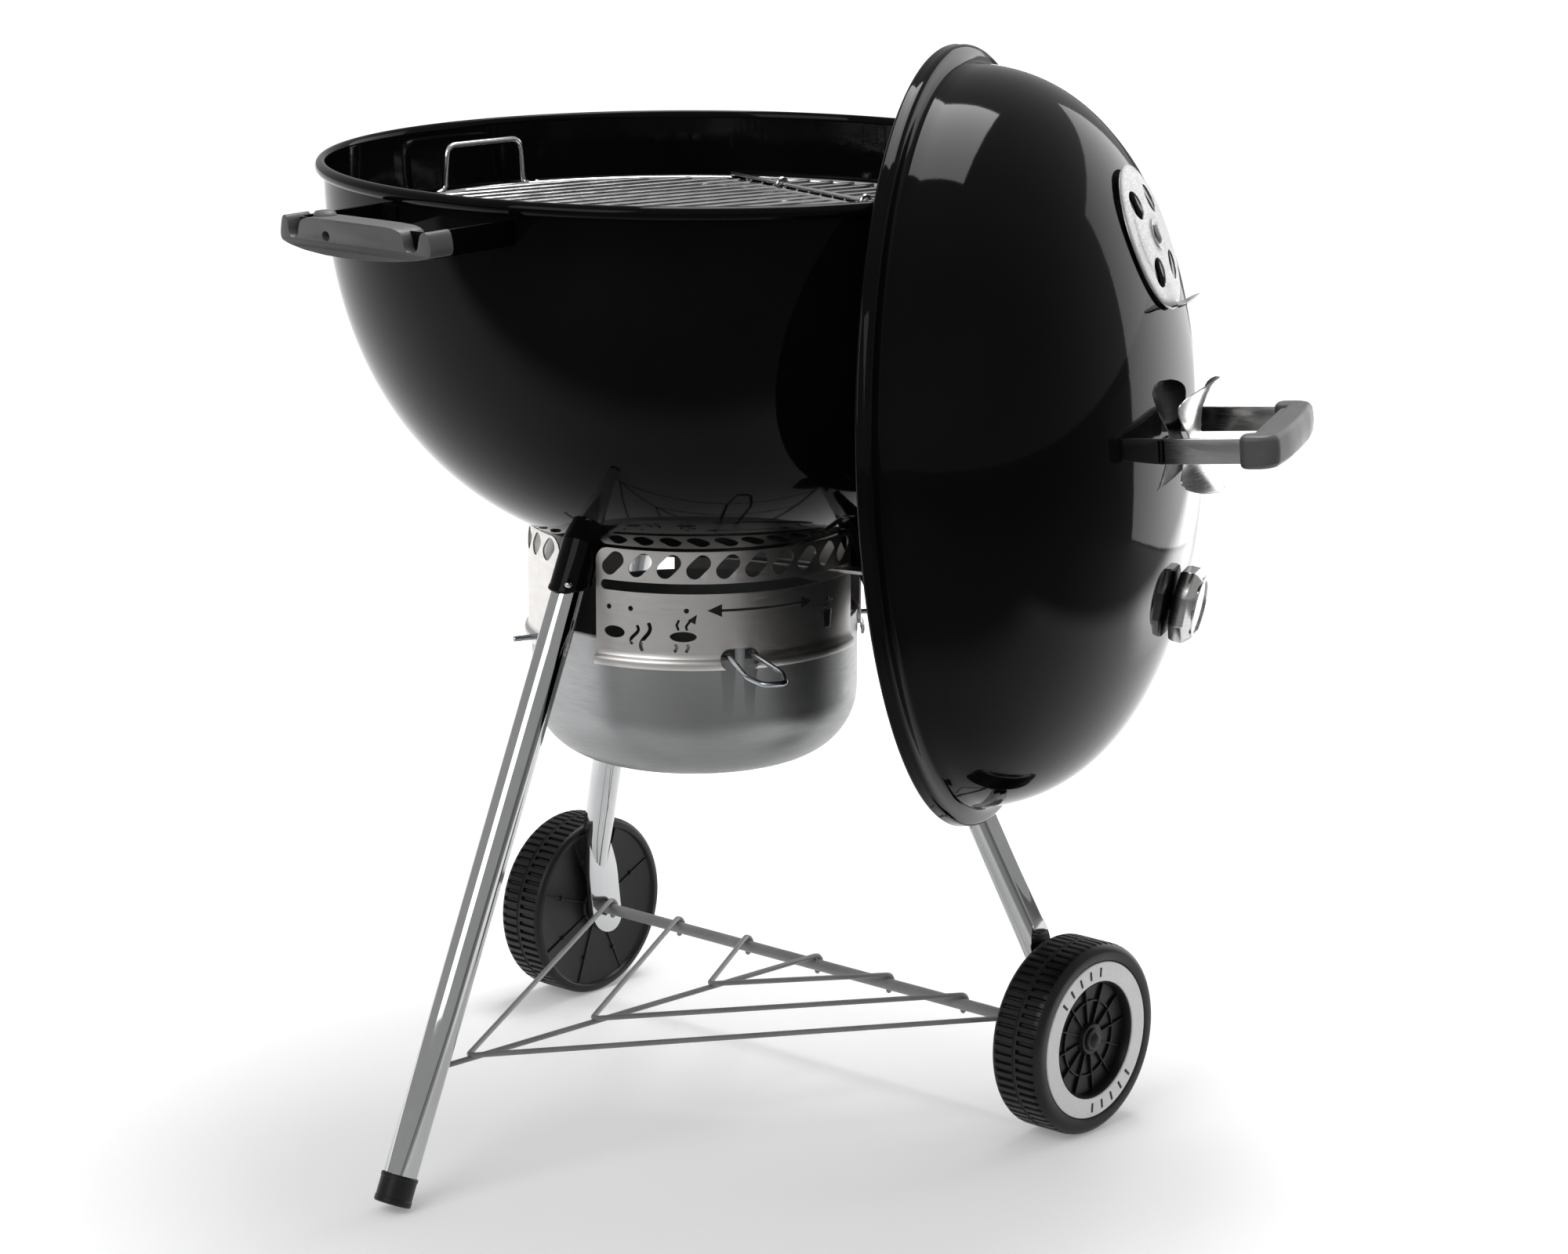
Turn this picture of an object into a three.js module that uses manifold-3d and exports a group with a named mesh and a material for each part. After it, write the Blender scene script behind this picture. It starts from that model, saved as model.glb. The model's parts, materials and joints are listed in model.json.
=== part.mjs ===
// Kettle charcoal grill with its lid hung on the side of the bowl.
// Millimetres, +Z up. Azimuths are measured about the bowl's axis from the front (-Y) towards +X.
import * as THREE from 'three';
import { mergeVertices } from 'three/addons/utils/BufferGeometryUtils.js';
import Module from 'manifold-3d';

const wasm = await Module();
wasm.setup();

// ---------------------------------------------------------------- driving dimensions

const SHEET = 1.6;              // enamelled steel of the bowl and the lid
const GAP = 0.35;               // clearance between neighbouring pieces
const ROUND = 32;               // facets round a large turned piece

// The footprint's middle, seen from the bowl's axis: the model's origin lies there on the ground.
const FOOTPRINT_X = 36;
const FOOTPRINT_Y = -10.4;

const RIM_Z = 754;              // top of the bowl's rolled rim
const RIM_R = 286;              // outer radius of the rolled rim
const BOWL_R = 279.5;           // outer radius of the bowl's wall under the rim
const BOWL_DEPTH = 304;
const BOWL_POWER = 2.25;        // how square the bowl's curve is
const BEAD = 12;                // height of the rolled rims

const LID_AZIMUTH = 54.1;       // where the lid hangs
const LID_RHO = 214;            // its rim's centre, out from the bowl's axis
const LID_Z = 549.3;            // and above the ground
const LID_TILT = 3.9;           // the rim leans in at the top, against the bowl
const LID_R = 294;              // outer radius of the lid's rolled rim
const DOME_R = 280;
const DOME_DEPTH = 169.3;
const DOME_POWER = 2.3;

const LEG_R = 12.7;
const LEG_TOP_R = 140;          // a leg's distance from the bowl's axis at LEG_TOP_Z
const LEG_TOP_Z = 441;
const LEG_SPREAD = 0.447;       // how far a leg moves out for each millimetre down
const FOOT_AZIMUTH = -60;
const WHEEL_AZIMUTHS = [60, 180];

const WHEEL_R = 76.2;
const WHEEL_WIDTH = 45;
const AXLE_R = 4.75;
const AXLE_OFFSET = 145.8;      // the axle's nearest point to the bowl's axis
const AXLE_AZIMUTH = 120;
const WHEEL_OUT = 265.5;        // a wheel's middle, along the axle
const PLATE_OUT = 237;          // a leg's flattened end, along the axle

const PANEL_R = 129;            // ash guard round the bucket
const PANEL_TOP = 474;
const PANEL_BOTTOM = 383;
const PANEL_CENTRE = -1.6;      // azimuth of the front panel's middle
const PANEL_HALF = 51.2;        // half its angle
const HOLE_PITCH = 9.9;
const SLOT_HALF = 49.4;
const SLOT_Z = 445.6;           // the damper lever's slot
const LEVER_REST = 44;          // the lever stands at the slot's right-hand end

const BUCKET_R = 126.3;
const BUCKET_TOP = 404;
const BUCKET_BOTTOM = 290;
const BUCKET_CORNER = 52;
const CATCH_Z = 394;            // height of the bucket's catch wire

const GRATE_Z = 701;            // middle of the cooking grate's rods
const GRATE_R = 259;
const GRATE_AZIMUTH = 105;      // direction that the rods run in
const ROD_R = 3;
const ROD_PITCH = 16.8;
const HINGE_OUT = 165;          // a flap's hinge line, from the grate's middle
const HINGE_Z = 705.2;
const COALS_Z = 560;            // the charcoal grate
const COALS_R = 212;

// ---------------------------------------------------------------- helpers

const rad = THREE.MathUtils.degToRad;
const Z_AXIS = new THREE.Vector3(0, 0, 1);

function polar(azimuth, radius, height = 0) {
  const a = rad(azimuth);
  return new THREE.Vector3(radius * Math.sin(a), -radius * Math.cos(a), height);
}

// Keeps only merged positions, with the faces turned out.
function tidy(geometry) {
  const bare = geometry.clone();
  for (const name of Object.keys(bare.attributes)) {
    if (name !== 'position') bare.deleteAttribute(name);
  }
  const merged = mergeVertices(bare, 1e-4);
  const index = Array.from(merged.index.array);
  const kept = [];
  for (let i = 0; i < index.length; i += 3) {
    const [a, b, c] = index.slice(i, i + 3);
    if (a !== b && b !== c && c !== a) kept.push(a, b, c);
  }
  const p = merged.attributes.position;
  const corner = (i) => new THREE.Vector3().fromBufferAttribute(p, kept[i]);
  let volume = 0;
  for (let i = 0; i < kept.length; i += 3) {
    volume += corner(i).dot(corner(i + 1).cross(corner(i + 2)));
  }
  if (volume < 0) kept.reverse();
  merged.setIndex(kept);
  return merged;
}

function toSolid(geometry) {
  const g = tidy(geometry);
  return new wasm.Manifold(new wasm.Mesh({
    numProp: 3,
    vertProperties: Float32Array.from(g.attributes.position.array),
    triVerts: Uint32Array.from(g.index.array),
  }));
}

function toGeometry(solid) {
  const mesh = solid.getMesh();
  const g = new THREE.BufferGeometry();
  g.setAttribute('position', new THREE.BufferAttribute(mesh.vertProperties, 3));
  g.setIndex(new THREE.BufferAttribute(mesh.triVerts, 1));
  return g;
}

function join(...pieces) {
  return toGeometry(pieces.map(toSolid).reduce((sum, next) => sum.add(next)));
}

function cut(piece, ...tools) {
  return toGeometry(tools.map(toSolid).reduce((rest, tool) => rest.subtract(tool), toSolid(piece)));
}

function common(first, second) {
  return toGeometry(toSolid(first).intersect(toSolid(second)));
}

// A turned solid about +Z from an outline of [radius, height] points.
function turned(outline, segments = ROUND) {
  const points = outline.map(([r, z]) => new THREE.Vector2(Math.max(r, 0), z));
  return new THREE.LatheGeometry(points, segments).rotateX(Math.PI / 2);
}

function ring(inner, outer, low, high, segments = ROUND) {
  return turned([[inner, low], [outer, low], [outer, high], [inner, high], [inner, low]], segments);
}

function rod(radius, low, high, segments = 16) {
  return turned([[0, low], [radius, low], [radius, high], [0, high]], segments);
}

function box(x, y, z, centre) {
  return new THREE.BoxGeometry(x, y, z).translate(centre.x, centre.y, centre.z);
}

// A flat outline given as [x, y] points, thickened from z = low to z = high.
function slab(points, low, high, holes = []) {
  const shape = new THREE.Shape(points.map(([x, y]) => new THREE.Vector2(x, y)));
  shape.holes = holes;
  const options = { depth: high - low, bevelEnabled: false, curveSegments: 8 };
  return new THREE.ExtrudeGeometry(shape, options).translate(0, 0, low);
}

// Turns a piece made along +Z so that it runs along a direction from a place.
function along(geometry, place, direction, xHint = null) {
  const z = direction.clone().normalize();
  const hint = xHint ?? (Math.abs(z.z) > 0.9 ? new THREE.Vector3(1, 0, 0) : Z_AXIS);
  const y = new THREE.Vector3().crossVectors(z, hint).normalize();
  const x = new THREE.Vector3().crossVectors(y, z);
  const frame = new THREE.Matrix4().makeBasis(x, y, z).setPosition(place);
  return geometry.clone().applyMatrix4(frame);
}

// A round wire through points, with corners rounded by bend.
function wire(points, radius, bend = 0, sides = 8) {
  const path = new THREE.CurvePath();
  let last = points[0];
  for (let i = 1; i < points.length - 1; i += 1) {
    const before = points[i].clone().add(last.clone().sub(points[i]).setLength(bend));
    const after = points[i].clone().add(points[i + 1].clone().sub(points[i]).setLength(bend));
    path.add(new THREE.LineCurve3(last, before));
    path.add(new THREE.QuadraticBezierCurve3(before, points[i], after));
    last = after;
  }
  path.add(new THREE.LineCurve3(last, points.at(-1)));
  const stations = [];
  for (const curve of path.curves) {
    const count = curve.isLineCurve3 ? 1 : 3;
    for (let i = 0; i < count; i += 1) stations.push(curve.getPoint(i / count));
  }
  stations.push(points.at(-1));
  return sweep(stations, radius, sides);
}

// A capped tube with mitred corners through the given stations.
function sweep(stations, radius, sides = 8) {
  const count = stations.length;
  const tangents = stations.map((p, i) => stations[Math.min(i + 1, count - 1)].clone()
    .sub(stations[Math.max(i - 1, 0)]).normalize());
  const tube = new THREE.CylinderGeometry(radius, radius, 1, sides, count - 1);
  tube.rotateX(Math.PI / 2);
  const frames = [];
  let x = Math.abs(tangents[0].z) > 0.9 ? new THREE.Vector3(1, 0, 0) : Z_AXIS.clone();
  for (const t of tangents) {
    x = x.clone().addScaledVector(t, -x.dot(t)).normalize();
    frames.push([x, new THREE.Vector3().crossVectors(t, x)]);
  }
  const p = tube.attributes.position;
  for (let i = 0; i < p.count; i += 1) {
    const k = Math.round((p.getZ(i) + 0.5) * (count - 1));
    const [u, v] = frames[k];
    const q = stations[k].clone().addScaledVector(u, p.getX(i)).addScaledVector(v, p.getY(i));
    p.setXYZ(i, q.x, q.y, q.z);
  }
  return tube;
}

const steel = (color, roughness) => new THREE.MeshStandardMaterial({ color, roughness, metalness: 1 });
const plain = (color, roughness) => new THREE.MeshStandardMaterial({ color, roughness, metalness: 0 });

const MATERIALS = {
  enamel: plain(0x060606, 0.08),
  chrome: steel(0xd8dadd, 0.08),
  brushed: steel(0xb9b4ad, 0.35),
  aluminium: steel(0xb4b6b8, 0.4),
  plated: steel(0xc4c8cc, 0.22),
  zinc: steel(0x9fb0bb, 0.3),
  nylon: plain(0x5c5d5f, 0.5),
  black: plain(0x141414, 0.55),
  white: plain(0xe6e6e4, 0.4),
  grey: plain(0x77797a, 0.5),
  dial: plain(0xe9e9e6, 0.3),
};

const grill = new THREE.Group();
grill.position.set(-FOOTPRINT_X, -FOOTPRINT_Y, 0);

function add(name, geometry, material, parent = grill) {
  const mesh = new THREE.Mesh(tidy(geometry), MATERIALS[material]);
  mesh.name = name;
  parent.add(mesh);
  return mesh;
}

// ---------------------------------------------------------------- bowl

// Outer radius of the bowl's wall at a depth below its rim, grown by an offset.
function bowlRadius(depth, offset = 0) {
  const fraction = Math.min(depth / (BOWL_DEPTH + offset), 1);
  return (BOWL_R + offset) * (1 - fraction ** BOWL_POWER) ** (1 / BOWL_POWER);
}

// Points down the bowl's wall from one depth to the bottom, on the axis.
function bowlWall(from, offset, count = 8) {
  const points = [];
  for (let i = 0; i <= count; i += 1) {
    const turn = (i / count) * (Math.PI / 2);
    const depth = from + (BOWL_DEPTH + offset - from) * Math.sin(turn);
    points.push([i === count ? 0 : bowlRadius(depth, offset), RIM_Z - depth]);
  }
  return points;
}

const bowlBead = [[BOWL_R, RIM_Z - BEAD], [RIM_R - 1.6, RIM_Z - BEAD + 1.4], [RIM_R, RIM_Z - BEAD / 2],
  [RIM_R - 1.6, RIM_Z - 1.4], [RIM_R - 5, RIM_Z], [BOWL_R - SHEET - 0.6, RIM_Z - 1.2]];
const insideOfBowl = bowlWall(BEAD / 2, -SHEET);
const bowlShell = turned([...bowlWall(BEAD, 0).reverse(), ...bowlBead, ...insideOfBowl]);

// Three curved air vents in the bottom, and the hole for the sweeper's shaft.
const VENT_INNER = 36;
const VENT_OUTER = 88;
const VENT_ANGLE = 26;
const VENT_CENTRES = [-12, 108, 228];

function sector(inner, outer, azimuth, half, low, high) {
  const shape = new THREE.Shape();
  const start = rad(azimuth - 90 - half);
  const end = rad(azimuth - 90 + half);
  shape.absarc(0, 0, outer, start, end, false);
  shape.absarc(0, 0, inner, end, start, true);
  shape.closePath();
  const options = { depth: high - low, bevelEnabled: false, curveSegments: 4 };
  return new THREE.ExtrudeGeometry(shape, options).translate(0, 0, low);
}

const vents = VENT_CENTRES.map((azimuth) => sector(VENT_INNER, VENT_OUTER, azimuth, VENT_ANGLE, 430, 520));
add('bowl', cut(bowlShell, ...vents, rod(6.5, 430, 480, 12)), 'enamel');

// The space up to the bowl's outer surface, and the space inside it, trim what is welded to it.
const bowlSpace = turned([...bowlWall(BEAD, GAP).reverse(), [0, RIM_Z - BEAD]]);
const bowlHollow = turned([...bowlWall(BEAD / 2, -SHEET - GAP).reverse(), [0, RIM_Z - BEAD / 2]]);

// ---------------------------------------------------------------- sweeper and its lever

const BLADE_HALF = 30;
const BLADE_TURN = 91.5;        // from a vent's middle to the blade that shuts it, at the lever's rest
const bladeUnder = bowlWall(BEAD / 2, -SHEET - 1.4).reverse();
const bladeShell = turned([...bladeUnder, ...bowlWall(BEAD / 2, -SHEET - 3.4)]);
const bladeOutline = VENT_CENTRES.map((azimuth) => (
  sector(0, VENT_OUTER + 6, azimuth + BLADE_TURN, BLADE_HALF, 440, 500)));
const shaftBottom = SLOT_Z - 4;
const hub = rod(13, 450 + SHEET + 1.4, 450 + SHEET + 9, 16);
const shaft = rod(5.5, shaftBottom, 456, 12);
add('ash_sweeper', join(common(bladeShell, join(...bladeOutline)), hub, shaft), 'aluminium');

// A flat arm under the bowl, out through the slot, ending in a turned-down thumb tab.
const armLow = SLOT_Z - 1.3;
const armHigh = SLOT_Z + 1.3;
const arm = slab([[-11, -9], [11, -9], [7, 150], [-7, 150]], armLow, armHigh);
const tab = box(15, 2.6, 20, new THREE.Vector3(0, 150, SLOT_Z + 6));
const boss = ring(5.5 + GAP, 12, armLow - 2, armHigh, 16);
const armHole = rod(5.5 + GAP, armLow - 5, armHigh + 5, 16);
const lever = join(cut(join(arm, tab), armHole), cut(boss, armHole));
lever.rotateZ(rad(180 + LEVER_REST));
add('damper_lever', lever, 'brushed');

// ---------------------------------------------------------------- ash guard panels

function panel(centre, half) {
  const skin = turned([[PANEL_R - 1.2, PANEL_BOTTOM + 5], [PANEL_R + 0.8, PANEL_BOTTOM],
    [PANEL_R + 3, PANEL_BOTTOM + 1.2], [PANEL_R, PANEL_BOTTOM + 6.5], [PANEL_R, PANEL_TOP],
    [PANEL_R - 1.2, PANEL_TOP], [PANEL_R - 1.2, PANEL_BOTTOM + 5]]);
  return common(skin, sector(90, 170, centre, half, PANEL_BOTTOM - 5, PANEL_TOP + 5));
}

// A leaning obround hole, cut through the panel at an azimuth.
function leaningHole(azimuth) {
  const shape = new THREE.Shape();
  const [half, r] = [3.1, 6.3];
  shape.absarc(half, half, r, rad(-45), rad(135), false);
  shape.absarc(-half, -half, r, rad(135), rad(315), false);
  shape.closePath();
  const hole = new THREE.ExtrudeGeometry(shape, { depth: 30, bevelEnabled: false, curveSegments: 2 });
  const tangent = polar(azimuth + 90, 1);
  const outward = polar(azimuth, 1);
  const frame = new THREE.Matrix4().makeBasis(tangent, Z_AXIS, outward);
  frame.setPosition(polar(azimuth, PANEL_R - 15, 462.5));
  return hole.applyMatrix4(frame);
}

const PANELS = { ash_guard_front: 0, ash_guard_right: 120, ash_guard_left: -120 };
const CATCH_MOUTH = [-9.5, 4.5];   // azimuths of the notch for the catch wire's loop
const CATCH_ENDS = 80;             // azimuth of its two ends
for (const [name, turn] of Object.entries(PANELS)) {
  const centre = PANEL_CENTRE + turn;
  const cuts = [];
  for (let i = -4.5; i < 5; i += 1) cuts.push(leaningHole(centre + i * HOLE_PITCH));
  if (turn === 0) {
    cuts.push(sector(90, 170, centre, SLOT_HALF, SLOT_Z - 4.2, SLOT_Z + 4.2));
    const mouthHalf = (CATCH_MOUTH[1] - CATCH_MOUTH[0]) / 2;
    const mouth = CATCH_MOUTH[0] + mouthHalf;
    cuts.push(sector(90, 170, mouth, mouthHalf, PANEL_BOTTOM - 10, CATCH_Z + 5));
  } else {
    const end = Math.sign(turn) * CATCH_ENDS;
    cuts.push(sector(90, 170, end, 2.6, PANEL_BOTTOM - 10, CATCH_Z + 5));
  }
  add(name, cut(panel(centre, PANEL_HALF), ...cuts), 'brushed');
}

// ---------------------------------------------------------------- ash bucket

function bucketWall(offset) {
  const points = [[0, BUCKET_BOTTOM - offset]];
  const r = BUCKET_CORNER + offset;
  for (let i = 0; i <= 4; i += 1) {
    const a = (i / 4) * (Math.PI / 2);
    const corner = [BUCKET_R - BUCKET_CORNER, BUCKET_BOTTOM + BUCKET_CORNER];
    points.push([corner[0] + r * Math.sin(a), corner[1] - r * Math.cos(a)]);
  }
  points.push([BUCKET_R + offset, BUCKET_TOP]);
  return points;
}

const bucketShell = turned([...bucketWall(0), ...bucketWall(-1.3).reverse()], 36);

// One springy wire: a loop in front to squeeze, arms inside the bucket, and two ends that
// stick out under the ash guard and hold the bucket up.
const CATCH_R = 2;
const catchArm = (from, to, steps) => {
  const points = [];
  for (let i = 0; i <= steps; i += 1) points.push(polar(from + ((to - from) * i) / steps, 120, CATCH_Z));
  return points;
};
const catchPoints = [
  polar(-CATCH_ENDS, 155, CATCH_Z), polar(-CATCH_ENDS, 124, CATCH_Z), ...catchArm(-77, -9.5, 8),
  polar(-6.6, 124, CATCH_Z), polar(-5.8, 150, CATCH_Z - 2), polar(-5.2, 185, CATCH_Z - 6),
  polar(-2.2, 196, CATCH_Z - 7), polar(2.2, 196, CATCH_Z - 7), polar(4.2, 170, CATCH_Z - 5),
  polar(2.6, 140, CATCH_Z - 1), polar(1.6, 124, CATCH_Z), ...catchArm(5, 77, 8),
  polar(CATCH_ENDS, 124, CATCH_Z), polar(CATCH_ENDS, 155, CATCH_Z),
];
const catchWire = sweep(catchPoints, CATCH_R, 6);
const wireHoles = [-6.4, 1.9].map((azimuth) => sector(122, 130, azimuth, 2.4, CATCH_Z - 4, CATCH_Z + 4));
const endHoles = [-CATCH_ENDS, CATCH_ENDS].map((azimuth) => (
  sector(122, 130, azimuth, 1.8, CATCH_Z - 4, CATCH_Z + 4)));
add('ash_bucket', cut(bucketShell, ...wireHoles, ...endHoles), 'aluminium');
add('bucket_catch_wire', catchWire, 'zinc');

// ---------------------------------------------------------------- legs

function legRadius(z) {
  return LEG_TOP_R + (LEG_TOP_Z - z) * LEG_SPREAD;
}

const LEG_STRETCH = Math.hypot(1, LEG_SPREAD);   // a slanting tube's section, cut level
const FLATTEN_TOP = 186;
const FLATTEN_BOTTOM = 118;
const PLATE_BOTTOM = 54;
const axleOut = polar(AXLE_AZIMUTH - 90, 1);      // along the axle, towards the right-hand wheel
const axleMiddle = polar(AXLE_AZIMUTH, AXLE_OFFSET, WHEEL_R);

// Leans an upright turned piece out along a leg; flatSide is +1 or -1 on a wheel's leg.
function lean(geometry, azimuth, flatSide = 0) {
  const p = geometry.attributes.position;
  const outward = polar(azimuth, 1);
  const sideways = polar(azimuth + 90, 1);
  const axle = axleOut.clone().multiplyScalar(flatSide);
  const across = new THREE.Vector3(-axle.y, axle.x, 0);
  for (let i = 0; i < p.count; i += 1) {
    const [x, y, z] = [p.getX(i), p.getY(i), p.getZ(i)];
    const round = polar(azimuth, legRadius(z), z)
      .addScaledVector(outward, x * LEG_STRETCH).addScaledVector(sideways, y);
    if (flatSide && z < FLATTEN_TOP) {
      const blend = THREE.MathUtils.smoothstep(FLATTEN_TOP - z, 0, FLATTEN_TOP - FLATTEN_BOTTOM);
      const flat = axleMiddle.clone().setZ(z).addScaledVector(axle, PLATE_OUT)
        .addScaledVector(axle, x * 0.2).addScaledVector(across, y * 1.35);
      round.lerp(flat, blend);
    }
    p.setXYZ(i, round.x, round.y, round.z);
  }
  return geometry;
}

const TUBE_TOP = 462;
const TUBE_BORE = LEG_R - 1.3;
const SOCKET_BOTTOM = 441;
const SNAP_Z = 447;

// The snap button looks out between the leg's outer side and the front of its socket.
function snapButton(azimuth) {
  const face = azimuth + 35;
  const start = polar(azimuth, legRadius(SNAP_Z), SNAP_Z);
  const pin = turned([[0, 7.5], [2.9, 7.5], [2.9, 17.6], [1.6, 18.8], [0, 18.8]], 12);
  const hole = rod(3.3, 8, 30, 12);
  const direction = polar(face, 1);
  return { pin: along(pin, start, direction), hole: along(hole, start, direction) };
}

function addLeg(prefix, azimuth, flatSide) {
  const button = snapButton(azimuth);
  const socketShape = [[LEG_R + GAP, SOCKET_BOTTOM], [LEG_R + 2.6, SOCKET_BOTTOM], [LEG_R + 2.6, 500],
    [LEG_R + GAP, 500], [LEG_R + GAP, SOCKET_BOTTOM]];
  const socket = lean(turned(socketShape, 12), azimuth);
  add(`${prefix}_socket`, cut(socket, bowlSpace, button.hole), 'enamel');
  const stations = [110, 125, 140, 155, 170];
  const outline = flatSide
    ? [[0, PLATE_BOTTOM], [LEG_R * 0.6, PLATE_BOTTOM], [LEG_R, PLATE_BOTTOM + 9],
      ...stations.map((z) => [LEG_R, z]), [LEG_R, FLATTEN_TOP], [LEG_R, TUBE_TOP],
      [TUBE_BORE, TUBE_TOP], [TUBE_BORE, FLATTEN_TOP + 6], [0, FLATTEN_TOP + 6]]
    : [[TUBE_BORE, 6], [LEG_R, 6], [LEG_R, TUBE_TOP], [TUBE_BORE, TUBE_TOP], [TUBE_BORE, 6]];
  const tube = lean(turned(outline, 12), azimuth, flatSide);
  const cuts = [button.hole];
  if (flatSide) {
    cuts.push(along(rod(AXLE_R + GAP, -300, 300, 12), axleMiddle, axleOut));
  } else {
    const rackEnd = polar(azimuth, rackMeetsLeg, RACK_FRONT_Z);
    cuts.push(along(rod(RACK_R + GAP, -20, 0, 8), rackEnd, polar(azimuth, 1)));
  }
  add(`${prefix}_tube`, cut(tube, ...cuts), 'chrome');
  add(`${prefix}_snap_button`, button.pin, 'chrome');
}

// ---------------------------------------------------------------- lower rack

const RACK_R = 2;
const RACK_REAR_Z = WHEEL_R + AXLE_R + RACK_R + GAP;
const RACK_FRONT_Z = 99;
const rackMeetsLeg = legRadius(RACK_FRONT_Z);
const RACK_APEXES = [254, 119, -16];
const RACK_ENDS = [230, 153, 76];

// Height of the rack's middle wire at a distance towards the foot.
function rackHeight(s) {
  return RACK_REAR_Z + ((RACK_FRONT_Z - RACK_REAR_Z) * (s + AXLE_OFFSET)) / (rackMeetsLeg + AXLE_OFFSET);
}

const towardFoot = polar(FOOT_AZIMUTH, 1);
const hookEnd = (u) => {
  const over = axleMiddle.clone().addScaledVector(axleOut, u);
  const lift = AXLE_R + RACK_R + GAP;
  return [
    over.clone().addScaledVector(towardFoot, -lift - 0.6).setZ(WHEEL_R - 3),
    over.clone().addScaledVector(towardFoot, -lift - 0.6).setZ(WHEEL_R + lift * 0.6),
    over.clone().addScaledVector(towardFoot, -lift * 0.5).setZ(WHEEL_R + lift + 0.3),
    over.clone().addScaledVector(towardFoot, 4).setZ(WHEEL_R + lift + 0.3),
  ];
};
const middleWire = sweep([...hookEnd(0), polar(FOOT_AZIMUTH, rackMeetsLeg - 9, RACK_FRONT_Z)], RACK_R, 8);
const rackWires = RACK_APEXES.map((s, i) => {
  const z = rackHeight(s) + RACK_R * 1.6;
  const apex = polar(FOOT_AZIMUTH, s, z);
  const [left, right] = [hookEnd(-RACK_ENDS[i]), hookEnd(RACK_ENDS[i]).reverse()];
  const before = apex.clone().lerp(left.at(-1), 0.06);
  const after = apex.clone().lerp(right[0], 0.06);
  return sweep([...left, before, apex, after, ...right], RACK_R, 8);
});
add('lower_rack', join(middleWire, ...rackWires), 'grey');

addLeg('foot_leg', FOOT_AZIMUTH, 0);
addLeg('right_wheel_leg', WHEEL_AZIMUTHS[0], 1);
addLeg('rear_wheel_leg', WHEEL_AZIMUTHS[1], -1);

const FOOT_CAP_R = LEG_R + 2.2;
const footCap = turned([[0, 0], [FOOT_CAP_R, 0], [FOOT_CAP_R, 30], [LEG_R + GAP, 30], [LEG_R + GAP, 5.6],
  [0, 5.6]], 24);
add('foot_cap', lean(footCap, FOOT_AZIMUTH), 'black');

// ---------------------------------------------------------------- axle and wheels

const AXLE_HALF = 284;
add('axle', along(rod(AXLE_R, -AXLE_HALF, AXLE_HALF, 16), axleMiddle, axleOut), 'grey');

const TRIM_INNER = 46.8;
const TRIM_OUTER = 62.2;
function addWheel(prefix, side) {
  const middle = axleMiddle.clone().addScaledVector(axleOut, side * WHEEL_OUT);
  const outward = axleOut.clone().multiplyScalar(side);
  const half = WHEEL_WIDTH / 2;
  const bore = AXLE_R + 0.3;
  const wheel = turned([[bore, -half + 5], [16, -half + 5], [20, -half + 9], [62, -half + 9], [66, -half],
    [73, -half], [WHEEL_R, -half + 5], [WHEEL_R, half - 5], [72, half], [TRIM_OUTER + GAP, half],
    [TRIM_OUTER + GAP, half - 2], [TRIM_INNER - GAP, half - 2], [TRIM_INNER - 2, half - 9], [14, half - 9],
    [12, half - 5], [bore, half - 5], [bore, -half + 5]], 24);
  add(`${prefix}_wheel`, along(wheel, middle, outward, Z_AXIS), 'black');
  const trim = ring(TRIM_INNER, TRIM_OUTER, half - 1.7, half - 0.2, 24);
  add(`${prefix}_wheel_trim`, along(trim, middle, outward, Z_AXIS), 'white');
  const cap = turned([[0, half + 0.6], [6, half + 0.6], [8.5, half - 1.2], [8.5, half - 4.7],
    [AXLE_R + GAP, half - 4.7], [AXLE_R + GAP, half - 3.4], [0, half - 3.4]], 14);
  add(`${prefix}_hub_cap`, along(cap, middle, outward, Z_AXIS), 'black');
}

addWheel('right', 1);
addWheel('rear', -1);

// ---------------------------------------------------------------- bowl handles

const HANDLE_AZIMUTHS = { left: -58, right: 122 };
const HANDLE_Z = 731;
const HANDLE_HALF = 73;
const GRIP_INNER = 336;         // the grip's near and far faces, from the bowl's axis
const GRIP_OUTER = 374;
const GRIP_THICK = 26;
const STRAP_HALF = 64;
const STRAP_OUTER = 360;
const STRAP_FOOT = 9;
const STRAP_THICK = 2.4;
const STRAP_WIDE = 19;

// Plan of a flat strap bent into a U, open towards -y, with short feet turned in at its ends.
function strapPlan(half, low, high, foot) {
  const t = STRAP_THICK;
  return [[-half, low], [-half + foot, low], [-half + foot, low + t], [-half + t, low + t],
    [-half + t, high - t], [half - t, high - t], [half - t, low + t], [half - foot, low + t],
    [half - foot, low], [half, low], [half, high], [-half, high]];
}

// Plan of a moulded grip round the middle of the U, its outer face slightly bowed.
function gripPlan(half, low, high, bow) {
  const outer = [];
  for (let i = 0; i <= 8; i += 1) {
    const x = half - 6 - ((2 * half - 12) * i) / 8;
    outer.push([x, high - bow * (x / half) ** 2]);
  }
  return [[-half, low], [-half + 17, low], [-half + 22, low + 14], [half - 22, low + 14],
    [half - 17, low], [half, low], [half, high - bow - 5], ...outer, [-half, high - bow - 5]];
}

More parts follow.
